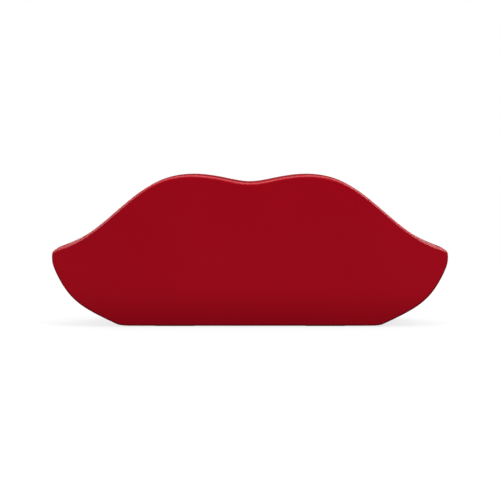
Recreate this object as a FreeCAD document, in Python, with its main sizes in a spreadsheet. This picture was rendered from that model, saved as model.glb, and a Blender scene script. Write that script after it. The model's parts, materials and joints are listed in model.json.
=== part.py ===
"""Lips-shaped one-piece desk telephone, in millimetres.

The casing is a pair of sculpted lips that stands on a flat foot. +Z is up, the mouth faces -Y and the
plain back faces +Y. The origin is the centre of the footprint, on the surface that the telephone stands on.
The working face, with the earpiece, the keys, the hook plunger and the microphone, is recessed in the
underside, so that the plunger is pressed while the telephone stands and springs out when it is lifted.
"""

import FreeCAD
import Part
import Sketcher
import math
import os
from FreeCAD import Placement, Rotation, Vector

doc = FreeCAD.newDocument("lips_telephone")

# ---------------------------------------------------------------- driving dimensions

SIZES = {
    # casing
    "foot_drop": 0.5,
    "wall": 2.4,
    "front_wall": 4.2,
    "tip_x": 110.0,
    "seam_y": 34.0,
    "rear_y": 40.0,
    "seam_gap": 0.35,
    "fit_gap": 0.1,
    "tongue_inset": 1.3,
    "tongue_depth": 2.6,
    "front_edge_round": 1.6,
    "rear_edge_round": 1.4,
    "rear_side_fall": 2.6,
    "rear_foot_fall": 2.7,
    "rear_foot_reach": 22.0,
    # working face
    "panel_z": 4.5,
    "panel_thick": 3.0,
    "panel_long": 126.0,
    "panel_rear": 29.0,
    "panel_side_front": -8.5,
    "panel_front_radius": 165.0,
    "panel_corner": 6.0,
    "panel_gap": 0.15,
    "well_wall": 2.0,
    "sleeve_wall": 2.0,
    "ledge_width": 3.0,
    "ledge_thick": 2.0,
    # keys
    "key_long": 9.4,
    "key_deep": 9.0,
    "function_long": 6.0,
    "function_deep": 7.4,
    "key_tall": 5.0,
    "key_flange": 0.8,
    "key_flange_tall": 1.0,
    "key_gap": 0.2,
    "key_round": 0.7,
    "key_corner": 1.3,
    # membrane and board
    "sheet_long": 58.4,
    "sheet_deep": 37.0,
    "sheet_thick": 1.0,
    "dome_base": 4.0,
    "dome_tip": 2.6,
    "dome_tall": 1.7,
    "board_long": 81.0,
    "board_deep": 39.5,
    "board_thick": 1.6,
    "connector_tall": 5.0,
    "post_radius": 2.2,
    "pilot_radius": 1.0,
    # hook switch
    "plunger_long": 8.0,
    "plunger_deep": 16.0,
    "plunger_flange": 1.0,
    "plunger_flange_tall": 1.5,
    "plunger_stem": 2.0,
    "arm_thick": 1.6,
    "arm_reach": 9.5,
    "arm_wide": 4.0,
    "hook_travel": 3.5,
    "hook_spring_radius": 2.95,
    "hook_spring_wire": 0.3,
    "bracket_long": 7.0,
    "bracket_deep": 24.0,
    "bracket_sheet": 1.4,
    "switch_long": 13.0,
    "switch_deep": 6.0,
    "switch_tall": 6.2,
    "switch_cheek": 1.0,
    "lever_thick": 0.5,
    "lever_reach": 13.4,
    "lever_barrel": 0.9,
    "lever_pin": 0.45,
    # receiver and microphone
    "ear_x": -45.0,
    "ear_y": 8.0,
    "ear_dish": 15.5,
    "ear_dish_deep": 0.9,
    "ear_hole": 0.95,
    "receiver_radius": 16.0,
    "receiver_socket": 16.2,
    "receiver_socket_wall": 1.0,
    "receiver_socket_tall": 3.7,
    "receiver_flange": 2.2,
    "receiver_tall": 8.4,
    "gasket_thick": 0.6,
    "gasket_bore": 13.6,
    "retainer_bore": 12.8,
    "retainer_thick": 0.9,
    "mic_x": 57.0,
    "mic_y": 3.0,
    "mic_radius": 4.5,
    "mic_tall": 6.0,
    "mic_mouth": 3.6,
    "boot_radius": 5.4,
    "boot_tall": 6.0,
    "boot_floor": 0.8,
    "mic_hole": 0.7,
    # slide switches
    "knob_long": 3.4,
    "knob_wide": 2.6,
    "knob_tall": 4.0,
    "slider_long": 5.0,
    "slider_wide": 3.8,
    "slider_thick": 0.8,
    "slider_round": 0.5,
    "housing_wall": 0.9,
    "housing_tall": 3.5,
    "ringer_travel": 3.6,
    "mode_travel": 3.0,
    # ringer
    "ringer_z": 41.0,
    "ringer_radius": 14.0,
    "magnet_radius": 10.5,
    "ringer_plate_thick": 1.6,
    "ringer_plate_wide": 36.0,
    "ringer_plate_tall": 38.0,
    # ballast, line jack, feet
    "ballast_long": 64.0,
    "ballast_deep": 7.0,
    "ballast_tall": 12.0,
    "jack_long": 16.0,
    "jack_wide": 12.0,
    "jack_tall": 12.0,
    "plug_wide": 9.8,
    "plug_tall": 7.0,
    "plug_deep": 12.0,
    "latch_wide": 4.2,
    "latch_tall": 2.0,
    "foot_recess": 0.8,
    "foot_deep": 3.2,
    "rear_foot_long": 22.0,
    "front_foot_long": 12.0,
    # fasteners and wires
    "boss_radius": 3.0,
    "long_boss_radius": 2.8,
    "web_thick": 1.6,
    "tab_wide": 5.6,
    "tab_thick": 3.0,
    "tab_boss_radius": 2.6,
    "tab_boss_tall": 5.0,
    "screw_head": 2.6,
    "screw_head_tall": 1.5,
    "screw_shank": 1.4,
    "screw_hole": 1.5,
    "small_head": 1.9,
    "small_head_tall": 1.2,
    "small_shank": 0.95,
    "wire_radius": 0.55,
}

sheet = doc.addObject("Spreadsheet::Sheet", "Sizes")
for row, (alias, number) in enumerate(SIZES.items(), start=1):
    sheet.set(f"A{row}", alias)
    sheet.set(f"B{row}", str(number))
    sheet.setAlias(f"B{row}", alias)
doc.recompute()


def cell(alias):
    """The number in the sheet's cell with this alias."""
    return float(sheet.get(alias))


class Cells:
    """The sheet's cells as attributes, so that places can be worked out from them."""

    def __getattr__(self, alias):
        return cell(alias)


S = Cells()

# Heights of the stack behind the working face, from the underside up.
PANEL_TOP = S.panel_z + S.panel_thick
KEY_TIP = PANEL_TOP + S.fit_gap - S.key_tall
FLANGE_TOP = PANEL_TOP + S.fit_gap + S.key_flange_tall
DOME_TIP = FLANGE_TOP + S.fit_gap
SHEET_BOTTOM = DOME_TIP + S.dome_tall
BOARD_BOTTOM = SHEET_BOTTOM + S.sheet_thick
BOARD_TOP = BOARD_BOTTOM + S.board_thick

# Places of the keys: four rows of three across the working face, and a column of function keys.
ROW_X = [-7.0, 5.5, 18.0, 30.5]
COLUMN_Y = [20.0, 8.0, -4.0]
FUNCTION_X = 41.5
KEY_NAMES = [
    ["key_1", "key_2", "key_3"],
    ["key_4", "key_5", "key_6"],
    ["key_7", "key_8", "key_9"],
    ["key_star", "key_0", "key_hash"],
]
FUNCTION_NAMES = ["key_redial", "key_flash", "key_mute"]

PLUNGER_X, PLUNGER_Y = -20.5, 8.0
BOARD_X = (-30.0, -30.0 + S.board_long)
BOARD_Y = (-11.5, -11.5 + S.board_deep)
BOARD_POSTS = [(-27.6, -8.9), (-27.6, 23.2), (48.4, -7.9), (48.4, 23.2)]
REAR_SCREWS = [(-58.2, 24.6), (58.2, 24.6)]
FRONT_SCREWS = [(-24.0, -15.3), (24.0, -15.3)]
RINGER_SWITCH = (56.2, 15.3)
MODE_SWITCH = (-19.6, -9.1)
RINGER_BOSSES = [(-13.0, 59.0), (13.0, 59.0)]
BALLAST_BOSSES = [(-22.0, 21.0), (22.0, 21.0)]
BALLAST_Y = -29.0
JACK_X, JACK_Y, JACK_Z = 67.0, 21.0, 13.0

pieces = []

# ---------------------------------------------------------------- helpers: document objects


def keep(obj, name):
    """Names an object as a finished piece and lists it for export."""
    obj.Label = name
    pieces.append(obj)
    return obj


def bind(obj, **cells):
    """Binds properties of an object to cells of the sheet."""
    for prop, alias in cells.items():
        obj.setExpression(prop, f"Sizes.{alias}")
    return obj


def box(name, at, long, deep, tall):
    """A Part::Box centred on at in X and Y, standing on at's Z, with its sizes taken from three cells."""
    obj = bind(doc.addObject("Part::Box", name), Length=long, Width=deep, Height=tall)
    corner = Vector(at[0] - cell(long) / 2, at[1] - cell(deep) / 2, at[2])
    obj.Placement = Placement(corner, Rotation())
    return obj


def plain_box(name, low, high):
    """A Part::Box between two corners, for cuts and small features placed by their neighbours."""
    obj = doc.addObject("Part::Box", name)
    obj.Length, obj.Width, obj.Height = (b - a for a, b in zip(low, high))
    obj.Placement = Placement(Vector(*low), Rotation())
    return obj


AXES = {
    "+Z": Rotation(),
    "-Y": Rotation(Vector(1, 0, 0), 90),
    "+Y": Rotation(Vector(1, 0, 0), -90),
    "+X": Rotation(Vector(0, 1, 0), 90),
    "-Z": Rotation(Vector(1, 0, 0), 180),
}


def rod(name, at, radius, tall, along="+Z"):
    """A Part::Cylinder from at along an axis. Radius and tall are cells or numbers."""
    obj = doc.addObject("Part::Cylinder", name)
    for prop, given in (("Radius", radius), ("Height", tall)):
        if isinstance(given, str):
            bind(obj, **{prop: given})
        else:
            setattr(obj, prop, given)
    obj.Placement = Placement(Vector(*at), AXES[along])
    return obj


def cone(name, at, low, high, tall):
    """A Part::Cone standing on at, with its two radii and height taken from cells or numbers."""
    obj = doc.addObject("Part::Cone", name)
    for prop, given in (("Radius1", low), ("Radius2", high), ("Height", tall)):
        if isinstance(given, str):
            bind(obj, **{prop: given})
        else:
            setattr(obj, prop, given)
    obj.Placement = Placement(Vector(*at), Rotation())
    return obj


def fuse(name, shapes):
    obj = doc.addObject("Part::MultiFuse", name)
    obj.Shapes = shapes
    return obj


def cut(name, base, tool):
    obj = doc.addObject("Part::Cut", name)
    obj.Base, obj.Tool = base, tool
    return obj


def group(name, shapes):
    """Several separate solids as one piece."""
    obj = doc.addObject("Part::Compound", name)
    obj.Links = shapes
    return obj


def feature(name, shape):
    obj = doc.addObject("Part::Feature", name)
    obj.Shape = shape
    return obj


# ---------------------------------------------------------------- helpers: bodies and sketches


def new_body(name):
    return doc.addObject("PartDesign::Body", name + "_body")


def sketch_on(body, name, height=0.0, plane="XY_Plane"):
    """A sketch on one of its own body's origin planes, lifted by height."""
    found = body.newObject("Sketcher::SketchObject", name)
    origin = [f for f in body.Origin.OriginFeatures if f.Role == plane][0]
    found.AttachmentSupport = (origin, [""])
    found.MapMode = "FlatFace"
    found.AttachmentOffset = Placement(Vector(0, 0, height), Rotation())
    return found


def rectangle_corners(centre, half_x, half_y):
    x, y = centre
    left, right, near, far = x - half_x, x + half_x, y - half_y, y + half_y
    return [(left, near), (right, near), (right, far), (left, far)]


def add_rectangle(sketch, centre, long, deep):
    """A rectangle whose sides are bound to two cells, with its centre held by two distances."""
    half_x, half_y = cell(long) / 2, cell(deep) / 2
    corners = rectangle_corners(centre, half_x, half_y)
    first = sketch.GeometryCount
    for i in range(4):
        start, end = corners[i], corners[(i + 1) % 4]
        sketch.addGeometry(Part.LineSegment(Vector(*start, 0), Vector(*end, 0)))
    constraint = Sketcher.Constraint
    for i in range(4):
        sketch.addConstraint(constraint("Coincident", first + i, 2, first + (i + 1) % 4, 1))
        kind = "Horizontal" if i % 2 == 0 else "Vertical"
        sketch.addConstraint(constraint(kind, first + i))
    for alias, line in ((long, first), (deep, first + 1)):
        index = sketch.addConstraint(constraint("Distance", line, cell(alias)))
        sketch.setExpression(f"Constraints[{index}]", f"Sizes.{alias}")
    sketch.addConstraint(constraint("DistanceX", -1, 1, first, 1, corners[0][0]))
    sketch.addConstraint(constraint("DistanceY", -1, 1, first, 1, corners[0][1]))


def add_circle(sketch, centre, radius):
    """A circle with its radius bound to a cell."""
    index = sketch.addGeometry(Part.Circle(Vector(*centre, 0), Vector(0, 0, 1), cell(radius)))
    constraint = sketch.addConstraint(Sketcher.Constraint("Radius", index, cell(radius)))
    sketch.setExpression(f"Constraints[{constraint}]", f"Sizes.{radius}")
    sketch.addConstraint(Sketcher.Constraint("DistanceX", -1, 1, index, 3, centre[0]))
    sketch.addConstraint(Sketcher.Constraint("DistanceY", -1, 1, index, 3, centre[1]))


def add_outline(sketch, points):
    """A closed polygon of lines through points."""
    first = sketch.GeometryCount
    count = len(points)
    for i in range(count):
        start, end = points[i], points[(i + 1) % count]
        sketch.addGeometry(Part.LineSegment(Vector(*start, 0), Vector(*end, 0)))
    for i in range(count):
        sketch.addConstraint(Sketcher.Constraint("Coincident", first + i, 2, first + (i + 1) % count, 1))


def pad(body, sketch, name, length):
    """A Pad towards +Z, as long as a cell or a number says."""
    made = body.newObject("PartDesign::Pad", name)
    made.Profile = sketch
    if isinstance(length, str):
        bind(made, Length=length)
    else:
        made.Length = length
    return made


def pocket(body, sketch, name, length, upwards=True):
    """A Pocket into the body, checked to have removed something."""
    doc.recompute()
    before = body.Tip.Shape.Volume
    made = body.newObject("PartDesign::Pocket", name)
    made.Profile = sketch
    made.Reversed = upwards
    if isinstance(length, str):
        bind(made, Length=length)
    else:
        made.Length = length
    doc.recompute()
    if not made.Shape.Volume < before - 0.01:
        raise RuntimeError(f"{name} cut nothing")
    return made


def round_edges(body, name, radius, wanted):
    """A PartDesign Fillet on the edges of the body's tip that wanted() picks."""
    doc.recompute()
    base = body.Tip
    names = [f"Edge{i}" for i, edge in enumerate(base.Shape.Edges, start=1) if wanted(edge)]
    made = body.newObject("PartDesign::Fillet", name)
    made.Base = (base, names)
    bind(made, Radius=radius)
    return made


def is_vertical(edge):
    box_of = edge.BoundBox
    return box_of.ZLength > 0.5 and box_of.XLength < 0.01 and box_of.YLength < 0.01


def lies_at(height):
    """Picks edges that lie flat at one height."""

    def wanted(edge):
        return edge.BoundBox.ZLength < 0.01 and abs(edge.BoundBox.ZMin - height) < 0.01

    return wanted


# ---------------------------------------------------------------- the lips: outline and front surface

# Half of the back view's outline, from the dip of the bow to the corner of the mouth, as (x, z).
UPPER_EDGE = [
    (0, 80.1), (14, 82.2), (31.7, 84.4), (50.2, 81.1), (66.8, 70.7), (84.2, 56.1), (97, 47.7), (105.5, 44.1)
]
# From the corner of the mouth down the side to the start of the flat foot.
LOWER_EDGE = [
    (S.tip_x, 38.6), (108.1, 30.9), (99.8, 17.5), (88.5, 8.7), (75.4, 2.0), (66, S.foot_drop)
]
CORNER_PULL = 0.55
SURFACE_REACH = 118.0
SURFACE_ACROSS = 33
SURFACE_UP = 25
LIP_MARGIN = 1.2


def edge_curve(points, start=None, end=None):
    curve = Part.BSplineCurve()
    tangents = {"InitialTangent": start, "FinalTangent": end} if start else {}
    curve.interpolate([Vector(x, 0, z) for x, z in points], **tangents)
    return curve


def moved_in(curve, points, inset):
    """The points of a curve moved square to it, towards the inside of the outline."""
    moved = []
    for x, z in points:
        tangent = curve.tangent(curve.parameter(Vector(x, 0, z)))[0]
        moved.append((x + tangent.z * inset, z - tangent.x * inset))
    return moved


def outline_edges(inset):
    """The upper and lower curves of the outline, moved in by inset."""
    down, inwards = Vector(0, 0, -1), Vector(-1, 0, 0)
    upper_points = [(-x, z) for x, z in reversed(UPPER_EDGE[1:])] + UPPER_EDGE
    upper = edge_curve(upper_points)
    lower = edge_curve(LOWER_EDGE, down, inwards)
    if inset == 0:
        return upper, lower
    upper = edge_curve(moved_in(upper, upper_points, inset))
    return upper, edge_curve(moved_in(lower, LOWER_EDGE, inset), down, inwards)


def outline_prism(inset, near, far):
    """The outline, moved in by inset, as a solid from y = near to y = far."""
    upper, lower = outline_edges(inset)
    bow_end, side_start = upper.value(upper.LastParameter), lower.value(lower.FirstParameter)
    pull = CORNER_PULL * bow_end.distanceToPoint(side_start)
    corner = Part.BezierCurve()
    leaving = upper.tangent(upper.LastParameter)[0]
    corner.setPoles([bow_end, bow_end + leaving * pull, side_start + Vector(0, 0, pull), side_start])
    foot = lower.value(lower.LastParameter)
    half = [corner.toShape(), lower.toShape()]
    other_half = [edge.mirror(Vector(), Vector(1, 0, 0)) for edge in half]
    floor = Part.makeLine(foot, Vector(-foot.x, 0, foot.z))
    wire = Part.Wire(Part.__sortEdges__([upper.toShape(), *half, floor, *other_half]))
    solid = Part.Face(wire).extrude(Vector(0, far - near, 0))
    solid.translate(Vector(0, near, 0))
    return solid


UPPER_CURVE, LOWER_CURVE = outline_edges(0)


def height_on(curve, x):
    """The height of an outline curve at x, found by halving."""
    low, high = curve.FirstParameter, curve.LastParameter
    rising = curve.value(high).x > curve.value(low).x
    for _ in range(50):
        middle = (low + high) / 2
        if (curve.value(middle).x < x) == rising:
            low = middle
        else:
            high = middle
    return curve.value((low + high) / 2).z


def mouth_height(x):
    """The line where the lips meet: a small dip under the bow, and a gentle rise each side of it."""
    away = min(abs(x), 105.0)
    dip = 2.6 * math.exp(-((away / 15) ** 2))
    rise = 1.6 * math.exp(-(((away - 40) / 22) ** 2))
    return 41.5 - dip + rise - 0.005 * away


def fullness(x):
    """How far the lips stand out at x: 1 in the middle, 0 at the corners of the mouth."""
    return (1 - min(abs(x) / S.tip_x, 1) ** 2) ** 0.85


def bulge(share, crest, end, start_y, crest_y, edge_y, sharpness):
    """The y of one lip at a share of its height: out from the mouth to the crest, then back to the edge."""
    if share < crest:
        return start_y + (crest_y - start_y) * math.sin(math.pi / 2 * share / crest) ** sharpness
    roundness = 0.6
    along = (share - crest) / (end - crest)
    at_edge = (1 - ((1 - crest) / (end - crest)) ** 2) ** roundness
    back_y = (edge_y - crest_y * at_edge) / (1 - at_edge)
    return back_y - (back_y - crest_y) * (1 - min(along, 1) ** 2) ** roundness


def front_depth(x, share):
    """The y of the front surface. share is 0 at the mouth line, 1 at the upper edge and -1 at the lower."""
    full = fullness(x)
    mouth_y = 17 - 32 * full
    if share >= 0:
        groove = 3.5 * math.exp(-((x / 13) ** 2)) * max(0.0, min(1.0, (share - 0.3) / 0.5))
        return bulge(share, 0.40, 1.32, mouth_y, 16 - 40 * full + groove, 17 - 9 * full, 0.75)
    return bulge(-share, 0.50, 1.35, mouth_y, 16 - 56 * full, 17 - 45 * full, 0.62)


def front_surface():
    """The sculpted front of both lips, wider than the outline on every side."""
    grid = []
    for i in range(SURFACE_ACROSS):
        x = SURFACE_REACH * math.sin(math.pi / 2 * (2 * i / (SURFACE_ACROSS - 1) - 1))
        inside = min(abs(x), 105.0)
        top = height_on(UPPER_CURVE, inside)
        bottom = height_on(LOWER_CURVE, inside) if inside > LOWER_EDGE[-1][0] else S.foot_drop
        mouth = mouth_height(x)
        row = []
        for j in range(SURFACE_UP):
            share = LIP_MARGIN * (2 * j / (SURFACE_UP - 1) - 1)
            tall = max(top - mouth if share >= 0 else mouth - bottom, 8.0)
            row.append(Vector(x, front_depth(x, share), mouth + share * tall))
        grid.append(row)
    surface = Part.BSplineSurface()
    surface.interpolate(grid)
    return surface.toShape()


FRONT_FACE = front_surface()


def behind_front(offset):
    """Everything behind the front surface once that is moved back by offset."""
    solid = FRONT_FACE.extrude(Vector(0, 130, 0))
    solid.translate(Vector(0, offset, 0))
    return solid


def rear_surface():
    """The almost flat back, which falls away a little at the corners and towards the foot."""
    grid = []
    for i in range(13):
        x = -120 + 20 * i
        row = []
        for j in range(21):
            z = -5 + 5 * j
            side = S.rear_side_fall * max(0.0, abs(x) / S.tip_x - 0.45) ** 2 / 0.55**2
            foot = S.rear_foot_fall * max(0.0, 1 - z / S.rear_foot_reach) ** 2.2
            row.append(Vector(x, S.rear_y - side - foot, z))
        grid.append(row)
    surface = Part.BSplineSurface()
    surface.interpolate(grid)
    return surface.toShape()


REAR_FACE = rear_surface()


def before_rear(offset):
    """Everything in front of the back surface once that is moved forward by offset."""
    solid = REAR_FACE.extrude(Vector(0, -130, 0))
    solid.translate(Vector(0, -offset, 0))
    return solid


# ---------------------------------------------------------------- casing

FRONT_LIMIT = -60.0
REAR_LIMIT = S.rear_y + 10
WELL_LIMIT = 30.0
MOUTH_HALF = 94.0
MOUTH_GAP = 1.7
GRILLE_SLOT_PITCH = 4.0


def mouth_lens(extra, near, far):
    """A thin lens along the mouth line, extra millimetres bigger all round than the gap between the lips."""
    steps = 14
    half = MOUTH_HALF + extra

    def half_gap(x):
        return (MOUTH_GAP + extra) * (1 - (x / half) ** 2) ** 0.6

    stations = [half * math.sin(math.pi / 2 * (2 * i / steps - 1)) for i in range(steps + 1)]
    sides = []
    for sign in (1, -1):
        curve = Part.BSplineCurve()
        curve.interpolate([Vector(x, near, mouth_height(x) + sign * half_gap(x)) for x in stations])
        sides.append(curve.toShape())
    return Part.Face(Part.Wire(sides)).extrude(Vector(0, far - near, 0))


def panel_block(grow, low, high):
    """The working face's outline, grown by grow, as a solid between two heights, with rounded corners."""
    half = S.panel_long / 2 + grow
    rear = S.panel_rear + grow
    radius = S.panel_front_radius + grow
    centre_y = S.panel_side_front + math.sqrt(S.panel_front_radius**2 - (S.panel_long / 2) ** 2)
    side_y = centre_y - math.sqrt(radius**2 - half**2)
    a, b = Vector(-half, side_y, low), Vector(-half, rear, low)
    c, d = Vector(half, rear, low), Vector(half, side_y, low)
    front = Part.Arc(d, Vector(0, centre_y - radius, low), a)
    edges = [Part.makeLine(a, b), Part.makeLine(b, c), Part.makeLine(c, d), front.toShape()]
    block = Part.Face(Part.Wire(edges)).extrude(Vector(0, 0, high - low))
    corners = [e for e in block.Edges if is_vertical(e)]
    return block.makeFillet(S.panel_corner + grow, corners)


def upright(x, y, radius, low, high):
    return Part.makeCylinder(radius, high - low, Vector(x, y, low))


def across(x, z, radius, near, far):
    return Part.makeCylinder(radius, far - near, Vector(x, near, z), Vector(0, 1, 0))


def block_between(low, high):
    size = Vector(*high) - Vector(*low)
    return Part.makeBox(size.x, size.y, size.z, Vector(*low))


JACK_GAP = 0.15
JACK_HALF_WIDE, JACK_HALF_TALL = S.jack_wide / 2 + JACK_GAP, S.jack_tall / 2 + JACK_GAP
JACK_TUNNEL_LOW = (JACK_X + 1, JACK_Y - JACK_HALF_WIDE, JACK_Z - JACK_HALF_TALL)
JACK_TUNNEL_HIGH = (S.tip_x + 10, JACK_Y + JACK_HALF_WIDE, JACK_Z + JACK_HALF_TALL)
FRONT_FEET = [(-26.0, -22.2), (26.0, -22.2)]
REAR_FEET = [(-42.0, 31.7), (42.0, 31.7)]
RINGER_PLATE_Y = -4.0
FRONT_POST_TOP, WEB_TOP, WEB_REACH = 17.0, 15.0, 14.0
REAR_BORE_TOP = 12.0
LEDGE_OPEN_Y = (-5.5, 17.5)
COVER_RIBS_X = (-40, 0, 40)


def make_screw_posts():
    """Posts for the working face's front screws, the ringer's plate and the ballast, each long enough to
    reach the front wall, where they are trimmed."""
    posts = []
    for x, y in FRONT_SCREWS:
        posts.append(upright(x, y, S.boss_radius, PANEL_TOP, FRONT_POST_TOP))
        half = S.web_thick / 2
        posts.append(block_between((x - half, y - WEB_REACH, PANEL_TOP), (x + half, y, WEB_TOP)))
    for x, z in RINGER_BOSSES:
        posts.append(across(x, z, S.long_boss_radius, FRONT_LIMIT, RINGER_PLATE_Y))
    for x, z in BALLAST_BOSSES:
        posts.append(across(x, z, S.long_boss_radius, FRONT_LIMIT, BALLAST_Y))
    return posts


def jack_sleeve():
    """The walls round the tunnel that the line jack looks out of."""
    wall = Vector(0, S.sleeve_wall, S.sleeve_wall)
    return block_between(Vector(*JACK_TUNNEL_LOW) - wall, Vector(*JACK_TUNNEL_HIGH) + wall)


def screw_bores():
    """The holes in the casing that its own screws go into or through."""
    bores = []
    for x, y in FRONT_SCREWS:
        bores.append(upright(x, y, S.screw_hole, PANEL_TOP - 1, WEB_TOP + 0.5))
    for x, y in REAR_SCREWS:
        bores.append(upright(x, y, S.screw_hole + 0.2, PANEL_TOP - 1, REAR_BORE_TOP))
    for x, z in RINGER_BOSSES:
        bores.append(across(x, z, S.pilot_radius, RINGER_PLATE_Y - 8, 0))
    for x, z in BALLAST_BOSSES:
        bores.append(across(x, z, S.screw_hole, BALLAST_Y - 4, 0))
    return bores


def foot_pockets():
    """The shallow recesses in the underside that hold the rubber feet."""
    pockets = []
    for places, long in ((FRONT_FEET, S.front_foot_long), (REAR_FEET, S.rear_foot_long)):
        half_x, half_y = long / 2 + S.fit_gap, S.foot_deep / 2 + S.fit_gap
        for x, y in places:
            low = (x - half_x, y - half_y, -1)
            pockets.append(block_between(low, (x + half_x, y + half_y, S.foot_drop + S.foot_recess)))
    return pockets


def make_front_shell():
    """The lips themselves, hollow, with the well for the working face and the bosses that take screws."""
    outer = outline_prism(0, FRONT_LIMIT, S.seam_y).common(behind_front(0))
    rim = [
        e for e in outer.Edges
        if e.BoundBox.YMin < S.seam_y - 3 and e.BoundBox.YMax < S.seam_y - 1 and e.Length > 3
    ]
    outer = outer.makeFillet(S.front_edge_round, rim)
    cavity = outline_prism(S.wall, FRONT_LIMIT, REAR_LIMIT).common(behind_front(S.front_wall))
    tongue_room = S.tongue_depth + 2 * S.fit_gap
    rebate = outline_prism(S.tongue_inset - S.fit_gap, S.seam_y - tongue_room, REAR_LIMIT)
    shell = outer.cut(cavity).cut(rebate)

    well = panel_block(S.well_wall, S.foot_drop, PANEL_TOP + S.ledge_thick)
    near, far = LEDGE_OPEN_Y
    open_ends = block_between((-S.tip_x, near, 0), (S.tip_x, far, WELL_LIMIT))
    inside = panel_block(-S.ledge_width, 0, WELL_LIMIT).fuse(panel_block(0, 0, WELL_LIMIT).common(open_ends))
    room = outline_prism(S.wall / 3, FRONT_LIMIT, S.seam_y - 3).common(behind_front(S.wall / 2))
    inner = [well.cut(inside), *make_screw_posts(), jack_sleeve()]
    shell = shell.fuse([piece.common(room) for piece in inner])

    cuts = [panel_block(S.panel_gap, -1, PANEL_TOP), block_between(JACK_TUNNEL_LOW, JACK_TUNNEL_HIGH)]
    cuts.append(mouth_lens(0, FRONT_LIMIT, WELL_LIMIT))
    return shell.cut([*cuts, *screw_bores(), *foot_pockets()])


def make_rear_cover():
    """The plain back: a shallow lid with a tongue round its edge and two tabs for the screws."""
    front_y = S.seam_y + S.seam_gap
    outer = outline_prism(0, front_y, REAR_LIMIT).common(before_rear(0))
    rim = [e for e in outer.Edges if e.BoundBox.YMin > front_y + 0.5 and e.Length > 3]
    outer = outer.makeFillet(S.rear_edge_round, rim)
    cavity = outline_prism(S.wall, front_y - 1, REAR_LIMIT).common(before_rear(S.wall))
    tongue_y = S.seam_y - S.tongue_depth
    tongue = outline_prism(S.tongue_inset, tongue_y, front_y + 1)
    tongue = tongue.cut(outline_prism(S.wall, tongue_y - 1, front_y + 2))
    cover = outer.cut(cavity)
    return cover.fuse([tongue, *cover_tabs(), *cover_ribs()]).cut(tab_pilots())


TAB_LOW = PANEL_TOP + S.ledge_thick + S.fit_gap


def cover_tabs():
    """Two tabs with round bosses, which the rear screws of the working face pull down onto its ledge."""
    tabs = []
    half = S.tab_wide / 2
    for x, y in REAR_SCREWS:
        near = (x - half, y - S.tab_boss_radius, TAB_LOW)
        tab = block_between(near, (x + half, S.rear_y - 1, TAB_LOW + S.tab_thick))
        tabs.append(tab.common(before_rear(1)))
        tabs.append(upright(x, y, S.tab_boss_radius, TAB_LOW, TAB_LOW + S.tab_boss_tall))
    return tabs


def tab_pilots():
    return [upright(x, y, S.screw_hole, TAB_LOW - 1, TAB_LOW + S.tab_boss_tall + 1) for x, y in REAR_SCREWS]


def cover_ribs():
    """Upright ribs that stiffen the back, from just above the floor to just below the upper edge."""
    ribs = []
    half = S.web_thick / 2
    for x in COVER_RIBS_X:
        top = height_on(UPPER_CURVE, x) - 4
        rib = block_between((x - half, S.seam_y - 2, 10), (x + half, S.rear_y, top))
        ribs.append(rib.common(before_rear(1)))
    return ribs


def make_mouth_grille():
    """The dark strip between the lips, with the slots that let the ringer out."""
    sunk, flange_thick, flange_wide = 1.5, 1.5, 2.4
    back = S.front_wall + S.fit_gap
    strip = mouth_lens(-0.12, FRONT_LIMIT, WELL_LIMIT).common(behind_front(sunk))
    strip = strip.cut(behind_front(back + 0.4))
    flange = mouth_lens(flange_wide, FRONT_LIMIT, WELL_LIMIT).common(behind_front(back))
    grille = strip.fuse(flange.cut(behind_front(back + flange_thick)))
    slots = []
    half_long, half_tall = 1.1, 0.7
    for i in range(-5, 6):
        x = GRILLE_SLOT_PITCH * i
        z = mouth_height(x)
        low = (x - half_long, FRONT_LIMIT, z - half_tall)
        slots.append(block_between(low, (x + half_long, WELL_LIMIT, z + half_tall)))
    return grille.cut(slots)


def make_casing():
    keep(feature("front_shell_shape", make_front_shell()), "front_shell")
    keep(feature("rear_cover_shape", make_rear_cover()), "rear_cover")
    keep(feature("mouth_grille_shape", make_mouth_grille()), "mouth_grille")


def make_feet():
    feet = []
    for i, (x, y) in enumerate(FRONT_FEET):
        feet.append(foot_pad(f"front_foot_{i}", x, y, "front_foot_long"))
    for i, (x, y) in enumerate(REAR_FEET):
        feet.append(foot_pad(f"rear_foot_{i}", x, y, "rear_foot_long"))
    keep(group("feet_group", feet), "rubber_feet")


def foot_pad(name, x, y, long):
    pad_box = bind(doc.addObject("Part::Box", name), Length=long, Width="foot_deep")
    pad_box.Height = S.foot_drop + S.foot_recess
    pad_box.Placement = Placement(Vector(x - cell(long) / 2, y - S.foot_deep / 2, 0), Rotation())
    return pad_box


# ---------------------------------------------------------------- working face

KEY_PLACES = {
    name: (ROW_X[i], COLUMN_Y[j]) for i, names in enumerate(KEY_NAMES) for j, name in enumerate(names)
}
FUNCTION_PLACES = {name: (FUNCTION_X, COLUMN_Y[j]) for j, name in enumerate(FUNCTION_NAMES)}


def ring_of_holes(count, radius, centre):
    for i in range(count):
        angle = 2 * math.pi * i / count
        yield centre[0] + radius * math.cos(angle), centre[1] + radius * math.sin(angle)


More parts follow.
